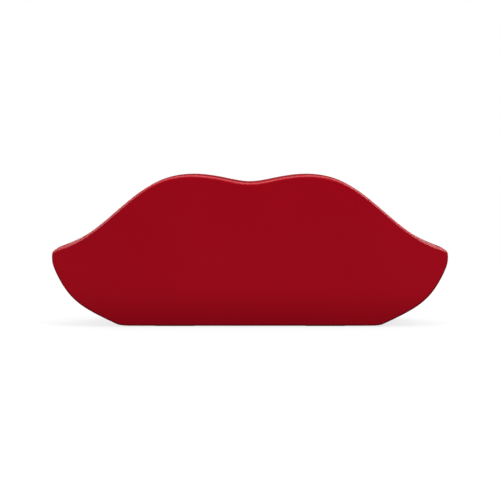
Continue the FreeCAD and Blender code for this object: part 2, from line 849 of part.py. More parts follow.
def panel_profile(sketch):
    """The working face's outline: straight back and sides, and a front that follows the lower lip."""
    half, rear, side = S.panel_long / 2, S.panel_rear, S.panel_side_front
    corners = [Vector(-half, side, 0), Vector(-half, rear, 0), Vector(half, rear, 0), Vector(half, side, 0)]
    for i in range(3):
        sketch.addGeometry(Part.LineSegment(corners[i], corners[i + 1]))
    centre_y = side + math.sqrt(S.panel_front_radius**2 - half**2)
    arc = Part.Arc(corners[0], Vector(0, centre_y - S.panel_front_radius, 0), corners[3])
    sketch.addGeometry(arc)
    constraint = Sketcher.Constraint
    for first, second in ((0, 1), (1, 2)):
        sketch.addConstraint(constraint("Coincident", first, 2, second, 1))
    sketch.addConstraint(constraint("Coincident", 3, 1, 0, 1))
    sketch.addConstraint(constraint("Coincident", 3, 2, 2, 2))
    sketch.addConstraint(constraint("Vertical", 0))
    sketch.addConstraint(constraint("Vertical", 2))
    sketch.addConstraint(constraint("Symmetric", 1, 1, 1, 2, -2))
    sketch.addConstraint(constraint("Horizontal", 0, 1, 2, 2))
    for kind, items, alias in (
        ("Distance", (1,), "panel_long"),
        ("DistanceY", (-1, 1, 1, 1), "panel_rear"),
        ("DistanceY", (-1, 1, 0, 1), "panel_side_front"),
        ("Radius", (3,), "panel_front_radius"),
    ):
        index = sketch.addConstraint(constraint(kind, *items, cell(alias)))
        sketch.setExpression(f"Constraints[{index}]", f"Sizes.{alias}")


def make_base_panel():
    """The plate that carries the earpiece grille, the keys' windows, the posts and the sockets."""
    body = new_body("base_panel")
    outline = sketch_on(body, "panel_outline", S.panel_z)
    panel_profile(outline)
    pad(body, outline, "panel_plate", "panel_thick")
    round_edges(body, "panel_corners", "panel_corner", is_vertical)

    posts = sketch_on(body, "panel_posts", PANEL_TOP)
    for place in BOARD_POSTS:
        add_circle(posts, place, "post_radius")
    pad(body, posts, "board_posts", BOARD_BOTTOM - PANEL_TOP)

    socket = sketch_on(body, "receiver_socket_ring", PANEL_TOP)
    ear = (S.ear_x, S.ear_y)
    add_circle(socket, ear, "receiver_socket")
    outside = Part.Circle(Vector(*ear, 0), Vector(0, 0, 1), S.receiver_socket + S.receiver_socket_wall)
    outer = socket.addGeometry(outside)
    socket.addConstraint(Sketcher.Constraint("Coincident", outer, 3, 0, 3))
    pad(body, socket, "receiver_socket_wall", "receiver_socket_tall")

    return body


def make_panel_piece():
    plate = make_base_panel()
    tools = []
    for name, (x, y) in KEY_PLACES.items():
        tools.append(window(name, x, y, S.key_long, S.key_deep))
    for name, (x, y) in FUNCTION_PLACES.items():
        tools.append(window(name, x, y, S.function_long, S.function_deep))
    tools.append(window("plunger", PLUNGER_X, PLUNGER_Y, S.plunger_long, S.plunger_deep))
    slot_long = S.knob_long + S.ringer_travel
    tools.append(window("ringer_switch", *RINGER_SWITCH, S.knob_wide, slot_long))
    mode_slot = S.knob_long + S.mode_travel
    mode_x = MODE_SWITCH[0] + S.mode_travel / 2
    tools.append(window("mode_switch", mode_x, MODE_SWITCH[1], mode_slot, S.knob_wide))
    tools.append(rod("ear_dish_cut", (S.ear_x, S.ear_y, S.panel_z), "ear_dish", "ear_dish_deep"))
    ear_rings = ((1, 0.0), (6, 4.2), (12, 8.4), (18, 12.4))
    for ring, (count, radius) in enumerate(ear_rings):
        for i, (x, y) in enumerate(ring_of_holes(count, radius, (S.ear_x, S.ear_y))):
            tools.append(rod(f"ear_hole_{ring}_{i}", (x, y, S.panel_z), "ear_hole", "panel_thick"))
    mic_rings = ((1, 0.0), (6, 2.6))
    for ring, (count, radius) in enumerate(mic_rings):
        for i, (x, y) in enumerate(ring_of_holes(count, radius, (S.mic_x, S.mic_y))):
            tools.append(rod(f"mic_hole_{ring}_{i}", (x, y, S.panel_z), "mic_hole", "panel_thick"))
    for i, (x, y) in enumerate(BOARD_POSTS):
        tools.append(rod(f"post_pilot_{i}", (x, y, PANEL_TOP), "pilot_radius", 8.0))
    for i, (x, y) in enumerate(FRONT_SCREWS + REAR_SCREWS):
        tools.append(rod(f"base_hole_{i}", (x, y, S.panel_z), "screw_hole", "panel_thick"))
        sunk = S.screw_head_tall + 0.2
        tools.append(rod(f"base_counterbore_{i}", (x, y, S.panel_z), S.screw_head + 0.3, sunk))
    keep(cut("base_panel_cut", plate, fuse("panel_openings", tools)), "base_panel")


def window(name, x, y, long, deep):
    """A hole through the plate that leaves key_gap round what moves in it."""
    gap = S.key_gap
    low = (x - long / 2 - gap, y - deep / 2 - gap, S.panel_z - 1)
    high = (x + long / 2 + gap, y + deep / 2 + gap, PANEL_TOP + 1)
    return plain_box(f"{name}_window", low, high)


def make_key(name, place, long, deep):
    """A key: a rounded cap that looks down out of the plate, and a flange that keeps it in."""
    body = new_body(name)
    cap = sketch_on(body, f"{name}_cap_outline", KEY_TIP)
    add_rectangle(cap, place, long, deep)
    pad(body, cap, f"{name}_cap", "key_tall")
    round_edges(body, f"{name}_corners", "key_corner", is_vertical)
    round_edges(body, f"{name}_top_edge", "key_round", lies_at(KEY_TIP))
    flange = sketch_on(body, f"{name}_flange_outline", PANEL_TOP + S.fit_gap)
    half_x, half_y = cell(long) / 2 + S.key_flange, cell(deep) / 2 + S.key_flange
    add_outline(flange, rectangle_corners(place, half_x, half_y))
    pad(body, flange, f"{name}_flange", "key_flange_tall")
    keep(body, name)


def make_keys():
    for name, place in KEY_PLACES.items():
        make_key(name, place, "key_long", "key_deep")
    for name, place in FUNCTION_PLACES.items():
        make_key(name, place, "function_long", "function_deep")


def make_membrane():
    """The silicone sheet behind the keys, with a hollow dome for each."""
    centre = (16.8, 8.25)
    solid = [box("membrane_sheet", (*centre, SHEET_BOTTOM), "sheet_long", "sheet_deep", "sheet_thick")]
    hollow = []
    hollow_tip = 1.8
    roof = 0.6
    for name, (x, y) in {**KEY_PLACES, **FUNCTION_PLACES}.items():
        solid.append(cone(f"{name}_dome", (x, y, DOME_TIP), "dome_tip", "dome_base", S.dome_tall + 0.01))
        tall = BOARD_BOTTOM - DOME_TIP - roof
        hollow.append(cone(f"{name}_dome_hollow", (x, y, DOME_TIP + roof), hollow_tip, 3.2, tall + 0.01))
    domed = cut("membrane_cut", fuse("membrane_solid", solid), fuse("membrane_hollows", hollow))
    keep(domed, "keypad_membrane")


# ---------------------------------------------------------------- circuit board


def make_board():
    """The board on its posts, cut away round the hook plunger."""
    body = new_body("main_board")
    outline = sketch_on(body, "board_outline", BOARD_BOTTOM)
    centre = (sum(BOARD_X) / 2, sum(BOARD_Y) / 2)
    add_rectangle(outline, centre, "board_long", "board_deep")
    pad(body, outline, "board_plate", "board_thick")
    opening = sketch_on(body, "plunger_opening", BOARD_BOTTOM)
    half_x = S.plunger_long / 2 + S.plunger_flange + 0.5
    half_y = S.plunger_deep / 2 + S.plunger_flange + 0.5
    add_outline(opening, rectangle_corners((PLUNGER_X, PLUNGER_Y), half_x, half_y))
    pocket(body, opening, "plunger_cut", "board_thick")
    holes = sketch_on(body, "board_holes", BOARD_BOTTOM)
    for place in BOARD_POSTS:
        add_circle(holes, place, "pilot_radius")
    pocket(body, holes, "board_hole_cut", "board_thick")
    keep(body, "main_board")


def on_board(name, x, y, long, deep, tall, lift=0.0):
    low = (x - long / 2, y - deep / 2, BOARD_TOP + lift)
    return plain_box(name, low, (x + long / 2, y + deep / 2, BOARD_TOP + lift + tall))


def chip(name, x, y, pins, pitch=2.54):
    """A dual in-line package with its two rows of legs, fused into one solid."""
    long, deep, lift = pins / 2 * pitch, 6.4, 0.6
    parts = [on_board(f"{name}_package", x, y, long, deep, 3.2, lift)]
    for side in (-1, 1):
        for i in range(pins // 2):
            leg_x = x + (i - (pins / 2 - 1) / 2) * pitch
            leg_y = y + side * (deep / 2 + 0.2)
            parts.append(on_board(f"{name}_leg_{side + 1}_{i}", leg_x, leg_y, 0.6, 0.6, 2.2))
    return fuse(f"{name}_fused", parts)


def axial(name, x, y, radius, long):
    """A resistor or diode lying along X, just above the board."""
    return rod(name, (x - long / 2, y, BOARD_TOP + radius + 0.05), radius, long, "+X")


def make_components():
    keep(chip("dialler", 22.0, 8.0, 18), "dialler_chip")
    keep(chip("ringer_driver", 8.5, 20.5, 8), "ringer_chip")
    cans = [(35.0, 21.5, 3.2, 9.0), (27.0, 22.0, 2.5, 8.0), (42.0, -4.5, 4.0, 11.0), (19.0, 21.5, 2.5, 7.0)]
    capacitors = []
    for i, (x, y, radius, tall) in enumerate(cans):
        capacitors.append(rod(f"capacitor_{i}", (x, y, BOARD_TOP), radius, tall))
    capacitors.append(on_board("film_capacitor", 29.5, -6.0, 11.0, 4.5, 8.5))
    keep(group("capacitor_group", capacitors), "capacitors")
    resistors = [axial(f"resistor_{i}", 8.0, -9.0 + 2.9 * i, 1.05, 6.2) for i in range(4)]
    resistors += [axial(f"resistor_far_{i}", 41.0, 14.5 + 2.9 * i, 1.05, 5.6) for i in range(2)]
    keep(group("resistor_group", resistors), "resistors")
    diodes = [axial(f"diode_{i}", 18.0, -9.0 + 2.9 * i, 1.2, 5.0) for i in range(4)]
    keep(group("diode_group", diodes), "diodes")
    transistors = [on_board(f"transistor_{i}", -6.0, -8.5 + 5.0 * i, 4.6, 3.6, 4.8, 1.2) for i in range(3)]
    keep(group("transistor_group", transistors), "transistors")
    keep(on_board("crystal_can", 39.8, 6.5, 4.6, 11.0, 3.6, 0.2), "crystal")
    plugs = [
        on_board(f"connector_{which}", x, y, 5.0, 3.4, S.connector_tall)
        for which, (x, y) in CONNECTORS.items()
    ]
    keep(group("connector_group", plugs), "lead_connectors")


CONNECTORS = {
    "receiver": (-9.5, 23.5),
    "ringer": (0.0, 23.5),
    "line": (47.0, 18.5),
    "microphone": (47.5, 3.5),
    "ringer_switch": (47.5, 9.5),
}


# ---------------------------------------------------------------- hook switch

SPRING_FOOT = PANEL_TOP + S.hook_travel + 0.1 + S.plunger_flange_tall
BRACKET_TOP = 19.8
BRACKET_BOTTOM = BRACKET_TOP - S.bracket_sheet
ARM_BOTTOM = BRACKET_TOP + S.hook_travel + 0.3
PIVOT_X, PIVOT_Z = -0.6, 20.2
SPRING_TURNS, SPRING_STEPS = 4, 8
SWITCH_TOP = BOARD_TOP + S.switch_tall
LEVER_LIFT = math.degrees(math.asin((ARM_BOTTOM - 0.15 - S.lever_thick / 2 - PIVOT_Z) / S.lever_reach))


def make_plunger():
    """The hook plunger: a foot for the table, a flange that stops it, and a stem with the switch's arm."""
    body = new_body("hook_plunger")
    centre = (PLUNGER_X, PLUNGER_Y)
    foot = sketch_on(body, "plunger_foot_outline", 0.0)
    add_rectangle(foot, centre, "plunger_long", "plunger_deep")
    flange_bottom = SPRING_FOOT - S.plunger_flange_tall
    pad(body, foot, "plunger_foot", flange_bottom + 0.5)
    round_edges(body, "plunger_corners", "key_corner", is_vertical)
    round_edges(body, "plunger_toe", "key_round", lies_at(0.0))
    flange = sketch_on(body, "plunger_flange_outline", flange_bottom)
    half_x = S.plunger_long / 2 + S.plunger_flange
    half_y = S.plunger_deep / 2 + S.plunger_flange
    add_outline(flange, rectangle_corners(centre, half_x, half_y))
    pad(body, flange, "plunger_flange_plate", "plunger_flange_tall")
    stem = sketch_on(body, "plunger_stem_outline", SPRING_FOOT)
    add_circle(stem, centre, "plunger_stem")
    pad(body, stem, "plunger_stem_rod", ARM_BOTTOM + S.arm_thick - SPRING_FOOT)
    arm = sketch_on(body, "plunger_arm_outline", ARM_BOTTOM)
    arm_centre = (PLUNGER_X + S.arm_reach / 2, PLUNGER_Y)
    add_rectangle(arm, arm_centre, "arm_reach", "arm_wide")
    pad(body, arm, "plunger_arm", "arm_thick")
    keep(body, "hook_plunger")


def make_hook_spring():
    """A compression spring round the stem, between the flange and the bracket."""
    seat_gap = S.hook_spring_wire + 0.05
    low = SPRING_FOOT + seat_gap
    tall = BRACKET_BOTTOM - seat_gap - low
    steps = SPRING_TURNS * SPRING_STEPS
    points = []
    for i in range(steps + 1):
        angle = 2 * math.pi * i / SPRING_STEPS
        x = PLUNGER_X + S.hook_spring_radius * math.cos(angle)
        y = PLUNGER_Y + S.hook_spring_radius * math.sin(angle)
        points.append((x, y, low + tall * i / steps))
    keep(feature("hook_spring_coil", wire(points, S.hook_spring_wire)), "hook_spring")


def make_hook_bracket():
    """A bent sheet that stands on the board over the plunger and guides its stem."""
    place = (PLUNGER_X, PLUNGER_Y, BRACKET_BOTTOM)
    top = box("bracket_top", place, "bracket_long", "bracket_deep", "bracket_sheet")
    legs = []
    for side in (-1, 1):
        y = PLUNGER_Y + side * (S.bracket_deep - S.bracket_sheet) / 2
        low = (PLUNGER_X - S.bracket_long / 2, y - S.bracket_sheet / 2, BOARD_TOP)
        high = (PLUNGER_X + S.bracket_long / 2, y + S.bracket_sheet / 2, BRACKET_BOTTOM + 0.2)
        legs.append(plain_box(f"bracket_leg_{side + 1}", low, high))
    hole = rod("bracket_hole", (PLUNGER_X, PLUNGER_Y, BRACKET_BOTTOM - 1), S.plunger_stem + 0.25, 4.0)
    keep(cut("bracket_cut", fuse("bracket_bent", [top, *legs]), hole), "hook_bracket")


def make_hook_switch():
    """The snap-action switch, with two cheeks that hold the lever's pin."""
    x = PIVOT_X - S.switch_long / 2 + 1.5
    parts = [box("switch_case", (x, PLUNGER_Y, BOARD_TOP), "switch_long", "switch_deep", "switch_tall")]
    for side in (-1, 1):
        y = PLUNGER_Y + side * (S.switch_deep - S.switch_cheek) / 2
        low = (PIVOT_X - 1.4, y - S.switch_cheek / 2, SWITCH_TOP - 0.5)
        high = (PIVOT_X + 1.4, y + S.switch_cheek / 2, PIVOT_Z + 1.3)
        parts.append(plain_box(f"switch_cheek_{side + 1}", low, high))
    eye = rod("switch_eye", (PIVOT_X, PLUNGER_Y + 10, PIVOT_Z), "lever_pin", 20.0, "-Y")
    keep(cut("switch_drilled", fuse("switch_body_solid", parts), eye), "hook_switch_body")
    start = (PIVOT_X, PLUNGER_Y + S.switch_deep / 2, PIVOT_Z)
    keep(rod("switch_pin_rod", start, "lever_pin", "switch_deep", "-Y"), "hook_switch_pin")


def make_switch_lever():
    """The leaf that the plunger's arm presses down when the telephone is lifted."""
    half = S.switch_deep / 2 - S.switch_cheek - 0.1
    pivot = Vector(PIVOT_X, PLUNGER_Y, PIVOT_Z)
    barrel = Part.makeCylinder(S.lever_barrel, 2 * half, pivot - Vector(0, half, 0), Vector(0, 1, 0))
    low = pivot + Vector(-S.lever_reach - 0.6, -half + 0.2, -S.lever_thick / 2)
    leaf = Part.makeBox(S.lever_reach + 0.6, 2 * half - 0.4, S.lever_thick, low)
    leaf.rotate(pivot, Vector(0, 1, 0), LEVER_LIFT)
    bore = Part.makeCylinder(S.lever_pin + 0.05, 20, pivot - Vector(0, 10, 0), Vector(0, 1, 0))
    keep(feature("switch_lever_leaf", barrel.fuse(leaf).cut(bore)), "hook_switch_lever")


# ---------------------------------------------------------------- sound


def revolved(name, profile, at, axis):
    """A PartDesign Revolution of a closed (radius, height) profile about its own Z axis."""
    body = new_body(name)
    outline = sketch_on(body, f"{name}_profile", 0.0, "XZ_Plane")
    add_outline(outline, profile)
    turned = body.newObject("PartDesign::Revolution", f"{name}_turned")
    turned.Profile = outline
    turned.ReferenceAxis = (outline, ["V_Axis"])
    turned.Angle = 360
    body.Placement = Placement(Vector(*at), AXES[axis])
    return keep(body, name)


def make_receiver():
    """The earpiece capsule in its socket, on a gasket and under a retaining ring."""
    foot = PANEL_TOP + S.gasket_thick
    gasket = rod("gasket_disc", (S.ear_x, S.ear_y, PANEL_TOP), S.receiver_radius - 0.2, "gasket_thick")
    hole = rod("gasket_hole", (S.ear_x, S.ear_y, PANEL_TOP - 1), "gasket_bore", 4.0)
    keep(cut("gasket_cut", gasket, hole), "receiver_gasket")
    rim, tall = S.receiver_radius, S.receiver_tall
    profile = [(0, 0.8), (12.5, 0.8), (13.5, 0), (rim, 0), (rim, S.receiver_flange)]
    profile += [(12.6, S.receiver_flange), (11.8, tall - 1), (8.0, tall), (0, tall)]
    revolved("receiver_capsule", profile, (S.ear_x, S.ear_y, foot), "+Z")
    ring_foot = foot + S.receiver_flange
    disc = rod("retainer_disc", (S.ear_x, S.ear_y, ring_foot), S.receiver_socket - 0.05, "retainer_thick")
    opening = rod("retainer_opening", (S.ear_x, S.ear_y, ring_foot - 1), "retainer_bore", 4.0)
    keep(cut("retainer_cut", disc, opening), "receiver_retaining_ring")


def make_microphone():
    """A rubber boot on the working face, with the capsule pressed into it."""
    place = (S.mic_x, S.mic_y)
    seat = PANEL_TOP + S.boot_floor
    cup = rod("boot_cup", (*place, PANEL_TOP), "boot_radius", "boot_tall")
    bore = rod("boot_bore", (*place, seat), S.mic_radius + 0.02, 10.0)
    mouth = rod("boot_mouth", (*place, PANEL_TOP - 1), "mic_mouth", 4.0)
    keep(cut("boot_cut", cup, fuse("boot_hollow", [bore, mouth])), "microphone_boot")
    radius, tall = S.mic_radius, S.mic_tall
    profile = [(0, 0), (radius - 0.5, 0), (radius, 0.5)]
    profile += [(radius, tall - 0.4), (radius - 0.4, tall), (0, tall)]
    revolved("microphone_capsule", profile, (*place, seat), "+Z")


def make_ringer():
    """The sounder behind the mouth, on a plate that hangs from two bosses."""
    reach = S.ringer_radius
    profile = [(0, 0), (S.magnet_radius, 0), (S.magnet_radius, 5.0), (reach, 5.0), (reach, 8.4), (12.8, 8.4)]
    profile += [(11.6, 7.4), (4.0, 6.0), (0, 6.4)]
    at = (0, RINGER_PLATE_Y + 5.0, S.ringer_z)
    revolved("ringer_speaker", profile, at, "-Y")
    bottom = S.ringer_z - reach - 2
    low = (-S.ringer_plate_wide / 2, RINGER_PLATE_Y, bottom)
    plate = bind(
        doc.addObject("Part::Box", "ringer_plate_blank"),
        Length="ringer_plate_wide", Width="ringer_plate_thick", Height="ringer_plate_tall",
    )
    plate.Placement = Placement(Vector(*low), Rotation())
    holes = [rod("ringer_plate_bore", (0, 10, S.ringer_z), S.magnet_radius + 0.15, 20.0, "-Y")]
    for i, (x, z) in enumerate(RINGER_BOSSES):
        holes.append(rod(f"ringer_plate_hole_{i}", (x, 10, z), "pilot_radius", 20.0, "-Y"))
    keep(cut("ringer_plate_cut", plate, fuse("ringer_plate_holes", holes)), "ringer_plate")


# ---------------------------------------------------------------- slide switches


def make_slide_switch(name, place, along, travel, rest):
    """A knob that shows through the plate, and the housing that its slider runs in."""
    x, y = place
    knob = new_body(f"{name}_knob")
    sizes = ("knob_long", "knob_wide") if along == "X" else ("knob_wide", "knob_long")
    tip = PANEL_TOP + S.fit_gap - S.knob_tall
    stem = sketch_on(knob, f"{name}_stem_outline", tip)
    add_rectangle(stem, place, *sizes)
    pad(knob, stem, f"{name}_stem", "knob_tall")
    round_edges(knob, f"{name}_stem_edge", "slider_round", lies_at(tip))
    slider = sketch_on(knob, f"{name}_slider_outline", PANEL_TOP + S.fit_gap)
    sizes = ("slider_long", "slider_wide") if along == "X" else ("slider_wide", "slider_long")
    add_rectangle(slider, place, *sizes)
    pad(knob, slider, f"{name}_slider", "slider_thick")
    keep(knob, f"{name}_knob")
    half_long = (S.slider_long + travel) / 2 + 0.2
    half_wide = S.slider_wide / 2 + 0.2
    centre = (x + rest, y) if along == "X" else (x, y + rest)
    half = (half_long, half_wide) if along == "X" else (half_wide, half_long)
    wall = S.housing_wall
    low = (centre[0] - half[0] - wall, centre[1] - half[1] - wall, PANEL_TOP)
    high = (centre[0] + half[0] + wall, centre[1] + half[1] + wall, PANEL_TOP + S.housing_tall)
    room_low = (centre[0] - half[0], centre[1] - half[1], PANEL_TOP - 1)
    room_high = (centre[0] + half[0], centre[1] + half[1], PANEL_TOP + 1.6)
    can = plain_box(f"{name}_can", low, high)
    room = plain_box(f"{name}_room", room_low, room_high)
    keep(cut(f"{name}_can_cut", can, room), f"{name}_housing")


# ---------------------------------------------------------------- line jack, ballast, screws, wires


def make_line_jack():
    """A modular socket that looks out through the sleeve in the casing's side."""
    x = JACK_X + S.jack_long / 2
    body = box("jack_body", (x, JACK_Y, JACK_Z - S.jack_tall / 2), "jack_long", "jack_wide", "jack_tall")
    mouth = JACK_X + S.jack_long
    floor_z = JACK_Z - S.plug_tall / 2 - 0.6
    low = (mouth - S.plug_deep, JACK_Y - S.plug_wide / 2, floor_z)
    high = (mouth + 1, JACK_Y + S.plug_wide / 2, floor_z + S.plug_tall)
    cavity = plain_box("jack_cavity", low, high)
    latch_low = (mouth - S.plug_deep, JACK_Y - S.latch_wide / 2, floor_z + S.plug_tall - 0.1)
    latch_high = (mouth + 1, JACK_Y + S.latch_wide / 2, floor_z + S.plug_tall + S.latch_tall)
    latch = plain_box("jack_latch", latch_low, latch_high)
    keep(cut("jack_cut", body, fuse("jack_hollow", [cavity, latch])), "line_jack")
    contacts = []
    for i in range(4):
        y = JACK_Y + (i - 1.5) * 1.27
        start = Vector(mouth - S.plug_deep + 0.2, y, floor_z + 1.6)
        end = Vector(mouth - 3.2, y, floor_z + 0.25)
        run = end - start
        contacts.append(Part.makeCylinder(0.22, run.Length, start, run))
    keep(feature("jack_contact_wires", Part.makeCompound(contacts)), "jack_contacts")


def make_ballast():
    low = (-S.ballast_long / 2, BALLAST_Y, 15.0)
    bar = bind(
        doc.addObject("Part::Box", "ballast_bar"),
        Length="ballast_long", Width="ballast_deep", Height="ballast_tall",
    )
    bar.Placement = Placement(Vector(*low), Rotation())
    holes = [
        rod(f"ballast_hole_{i}", (x, BALLAST_Y + 12, z), S.screw_hole + 0.1, 20.0, "-Y")
        for i, (x, z) in enumerate(BALLAST_BOSSES)
    ]
    keep(cut("ballast_drilled", bar, fuse("ballast_holes", holes)), "ballast_weight")


def screw(name, head_at, head, head_tall, shank, long, along):
    """A pan-head screw: the head stands from head_at against along, the shank runs from head_at along it."""
    direction = AXES[along].multVec(Vector(0, 0, 1))
    head_start = Vector(*head_at) - direction * cell(head_tall)
    parts = [rod(f"{name}_head", tuple(head_start), head, head_tall, along)]
    overlap = 0.2
    shank_start = Vector(*head_at) - direction * overlap
    parts.append(rod(f"{name}_shank", tuple(shank_start), shank, long + overlap, along))
    slot_wide, slot_deep = 0.6, 0.5
    half = cell(head) - 0.3
    blade = Part.makeBox(2 * half, slot_wide, slot_deep + 1, Vector(-half, -slot_wide / 2, -1))
    cross = blade.fuse(Part.makeBox(slot_wide, 2 * half, slot_deep + 1, Vector(-slot_wide / 2, -half, -1)))
    recess = feature(f"{name}_recess", cross)
    recess.Placement = Placement(head_start, AXES[along])
    return cut(f"{name}_cut", fuse(f"{name}_solid", parts), recess)


def make_screws():
    large = ("screw_head", "screw_head_tall", "screw_shank")
    small = ("small_head", "small_head_tall", "small_shank")
    seat = S.panel_z + S.screw_head_tall + 0.2
    screws = [
        screw(f"base_screw_{i}", (x, y, seat), *large, 8.0, "+Z")
        for i, (x, y) in enumerate(FRONT_SCREWS + REAR_SCREWS)
    ]
    keep(group("base_screw_group", screws), "base_screws")
    screws = [
        screw(f"board_screw_{i}", (x, y, BOARD_TOP), *small, 4.5, "-Z")
        for i, (x, y) in enumerate(BOARD_POSTS)
    ]
    keep(group("board_screw_group", screws), "board_screws")
    plate_back = RINGER_PLATE_Y + S.ringer_plate_thick
    screws = [
        screw(f"ringer_screw_{i}", (x, plate_back, z), *small, 7.0, "-Y")
        for i, (x, z) in enumerate(RINGER_BOSSES)
    ]
    keep(group("ringer_screw_group", screws), "ringer_screws")
    bar_back = BALLAST_Y + S.ballast_deep
    screws = [
        screw(f"ballast_screw_{i}", (x, bar_back, z), *large, 10.5, "-Y")
        for i, (x, z) in enumerate(BALLAST_BOSSES)
    ]
    keep(group("ballast_screw_group", screws), "ballast_screws")


def wire_path(points):
    """Straight runs joined by tangent arcs, each as large as 0.45 of the shorter run beside it allows."""
    edges = []
    here = points[0]
    for i in range(1, len(points) - 1):
        before, corner, after = points[i - 1], points[i], points[i + 1]
        into, out = corner - before, after - corner
        reach = 0.45 * min(into.Length, out.Length)
        start = corner - into.normalize() * reach
        end = corner + out.normalize() * reach
        half_turn = into.getAngle(out) / 2
        radius = reach / math.tan(half_turn)
        inwards = (out - into).normalize()
        middle = corner + inwards * (radius / math.cos(half_turn) - radius)
        edges.append(Part.makeLine(here, start))
        edges.append(Part.Arc(start, middle, end).toShape())
        here = end
    edges.append(Part.makeLine(here, points[-1]))
    return Part.Wire(edges)


def wire(points, radius):
    """A round wire of one radius along a route."""
    path = wire_path([Vector(*point) for point in points])
    first = path.Edges[0]
    start = first.valueAt(first.FirstParameter)
    direction = first.tangentAt(first.FirstParameter)
    section = Part.Wire(Part.Circle(start, direction, radius).toShape())
    made = path.makePipeShell([section], True, False, 2)
    expected = math.pi * radius**2 * path.Length
    if abs(made.Volume / expected - 1) > 0.02:
        raise RuntimeError("a wire's volume is not its section times its length")
    return made


def pair(name, points, beside=(0, 1, 0)):
    """Two leads side by side along one axis, as one piece."""
    leads = []
    for side in (-1, 1):
        shift = side * (S.wire_radius + 0.08)
        route = [[p + shift * b for p, b in zip(point, beside)] for point in points]
        leads.append(wire(route, S.wire_radius))
    keep(feature(f"{name}_wires", Part.makeCompound(leads)), name)


def connector_top(which):
    x, y = CONNECTORS[which]
    return x, y, BOARD_TOP + S.connector_tall


def make_wires():
    receiver_back = PANEL_TOP + S.gasket_thick + S.receiver_tall
    x, y, z = connector_top("receiver")
    route = [(-45, 9, receiver_back), (-45, 9, 24), (-37, 16, 30), (-22, 22, 31), (x, y, 27), (x, y, z)]
    pair("receiver_leads", route)
    x, y, z = connector_top("ringer")
    ringer_back = RINGER_PLATE_Y + 5.05
    route = [(3, ringer_back, 41), (3, 9, 41), (2, 17, 36), (x, y, 29), (x, y, z)]
    pair("ringer_leads", route, beside=(1, 0, 0))
    x, y, z = connector_top("microphone")
    mic_back = PANEL_TOP + S.boot_floor + S.mic_tall
    route = [(57, 3, mic_back), (57, 3, 21), (53.5, 3.2, 25.5), (x, y, 24.5), (x, y, z)]
    pair("microphone_leads", route)
    x, y, z = connector_top("line")
    route = [(JACK_X, 21, 15), (62, 21, 15), (56, 20.6, 22), (x, y, 24.5), (x, y, z)]
    pair("line_leads", route)
    x, y, z = connector_top("ringer_switch")
    top = PANEL_TOP + S.housing_tall
    route = [(56.2, 13.5, top), (56.2, 13.5, 17.5), (53, 11.5, 22.5), (x, y, 23), (x, y, z)]
    pair("ringer_switch_leads", route)


# ---------------------------------------------------------------- build, check and write


def check(obj):
    shape = obj.Shape
    bad = "Invalid" in obj.State or "Error" in obj.State
    if bad or shape.isNull() or not shape.isValid() or not shape.Solids:
        raise RuntimeError(f"{obj.Label} is not a valid solid: {obj.State}")
    if any(solid.Volume <= 0 for solid in shape.Solids):
        raise RuntimeError(f"{obj.Label} has a solid with no volume")


def main():
    make_casing()
    make_feet()
    make_panel_piece()
    make_keys()
    make_membrane()
    make_board()
    make_components()
    make_plunger()
    make_hook_spring()
    make_hook_bracket()
    make_hook_switch()
    make_switch_lever()
    make_receiver()
    make_microphone()
    make_ringer()
    make_slide_switch("ringer_switch", RINGER_SWITCH, "Y", S.ringer_travel, 0.0)
    make_slide_switch("mode_switch", MODE_SWITCH, "X", S.mode_travel, S.mode_travel / 2)
    make_line_jack()
    make_ballast()
    make_screws()
    make_wires()
    doc.recompute()
    for obj in doc.Objects:
        if "Invalid" in obj.State or "Error" in obj.State:
            raise RuntimeError(f"{obj.Name} failed: {obj.State}")
    os.makedirs("parts", exist_ok=True)
    for obj in pieces:
        check(obj)
    for obj in pieces:
        obj.Shape.exportStep(f"parts/{obj.Label}.step")
        count = len(obj.Shape.Solids)
        print(f"{obj.Label}: {count} solid(s), {obj.Shape.Volume / 1000:.2f} cm3")


main()
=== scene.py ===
"""The looks of the lips telephone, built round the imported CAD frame."""

import json
import math

import bmesh
import bpy
from mathutils import Matrix, Vector


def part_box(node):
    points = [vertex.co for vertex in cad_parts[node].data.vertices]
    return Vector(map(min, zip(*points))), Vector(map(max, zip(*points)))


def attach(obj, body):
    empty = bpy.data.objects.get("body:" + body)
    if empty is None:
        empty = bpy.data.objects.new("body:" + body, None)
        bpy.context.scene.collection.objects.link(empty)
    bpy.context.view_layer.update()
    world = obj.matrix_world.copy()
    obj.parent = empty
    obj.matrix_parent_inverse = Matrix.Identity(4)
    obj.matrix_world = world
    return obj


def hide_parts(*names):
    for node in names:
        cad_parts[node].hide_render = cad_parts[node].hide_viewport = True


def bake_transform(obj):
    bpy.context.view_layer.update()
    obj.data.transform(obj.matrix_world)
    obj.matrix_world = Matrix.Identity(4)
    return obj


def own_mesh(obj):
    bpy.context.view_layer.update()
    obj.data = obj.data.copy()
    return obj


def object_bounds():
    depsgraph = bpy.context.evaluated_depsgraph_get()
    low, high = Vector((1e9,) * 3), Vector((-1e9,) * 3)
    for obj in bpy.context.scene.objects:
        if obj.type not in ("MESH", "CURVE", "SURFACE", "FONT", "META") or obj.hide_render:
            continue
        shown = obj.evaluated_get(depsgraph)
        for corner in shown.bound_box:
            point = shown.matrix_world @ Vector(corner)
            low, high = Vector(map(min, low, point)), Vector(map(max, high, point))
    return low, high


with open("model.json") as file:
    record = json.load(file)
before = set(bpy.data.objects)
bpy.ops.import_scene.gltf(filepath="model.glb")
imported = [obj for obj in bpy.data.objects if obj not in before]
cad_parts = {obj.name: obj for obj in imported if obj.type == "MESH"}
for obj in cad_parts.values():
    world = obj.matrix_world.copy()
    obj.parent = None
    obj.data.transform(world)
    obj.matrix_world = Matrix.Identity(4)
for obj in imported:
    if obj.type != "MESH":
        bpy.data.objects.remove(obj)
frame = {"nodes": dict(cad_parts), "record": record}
cad_box = [list(corner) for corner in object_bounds()]
low, high = (Vector(corner) for corner in cad_box)
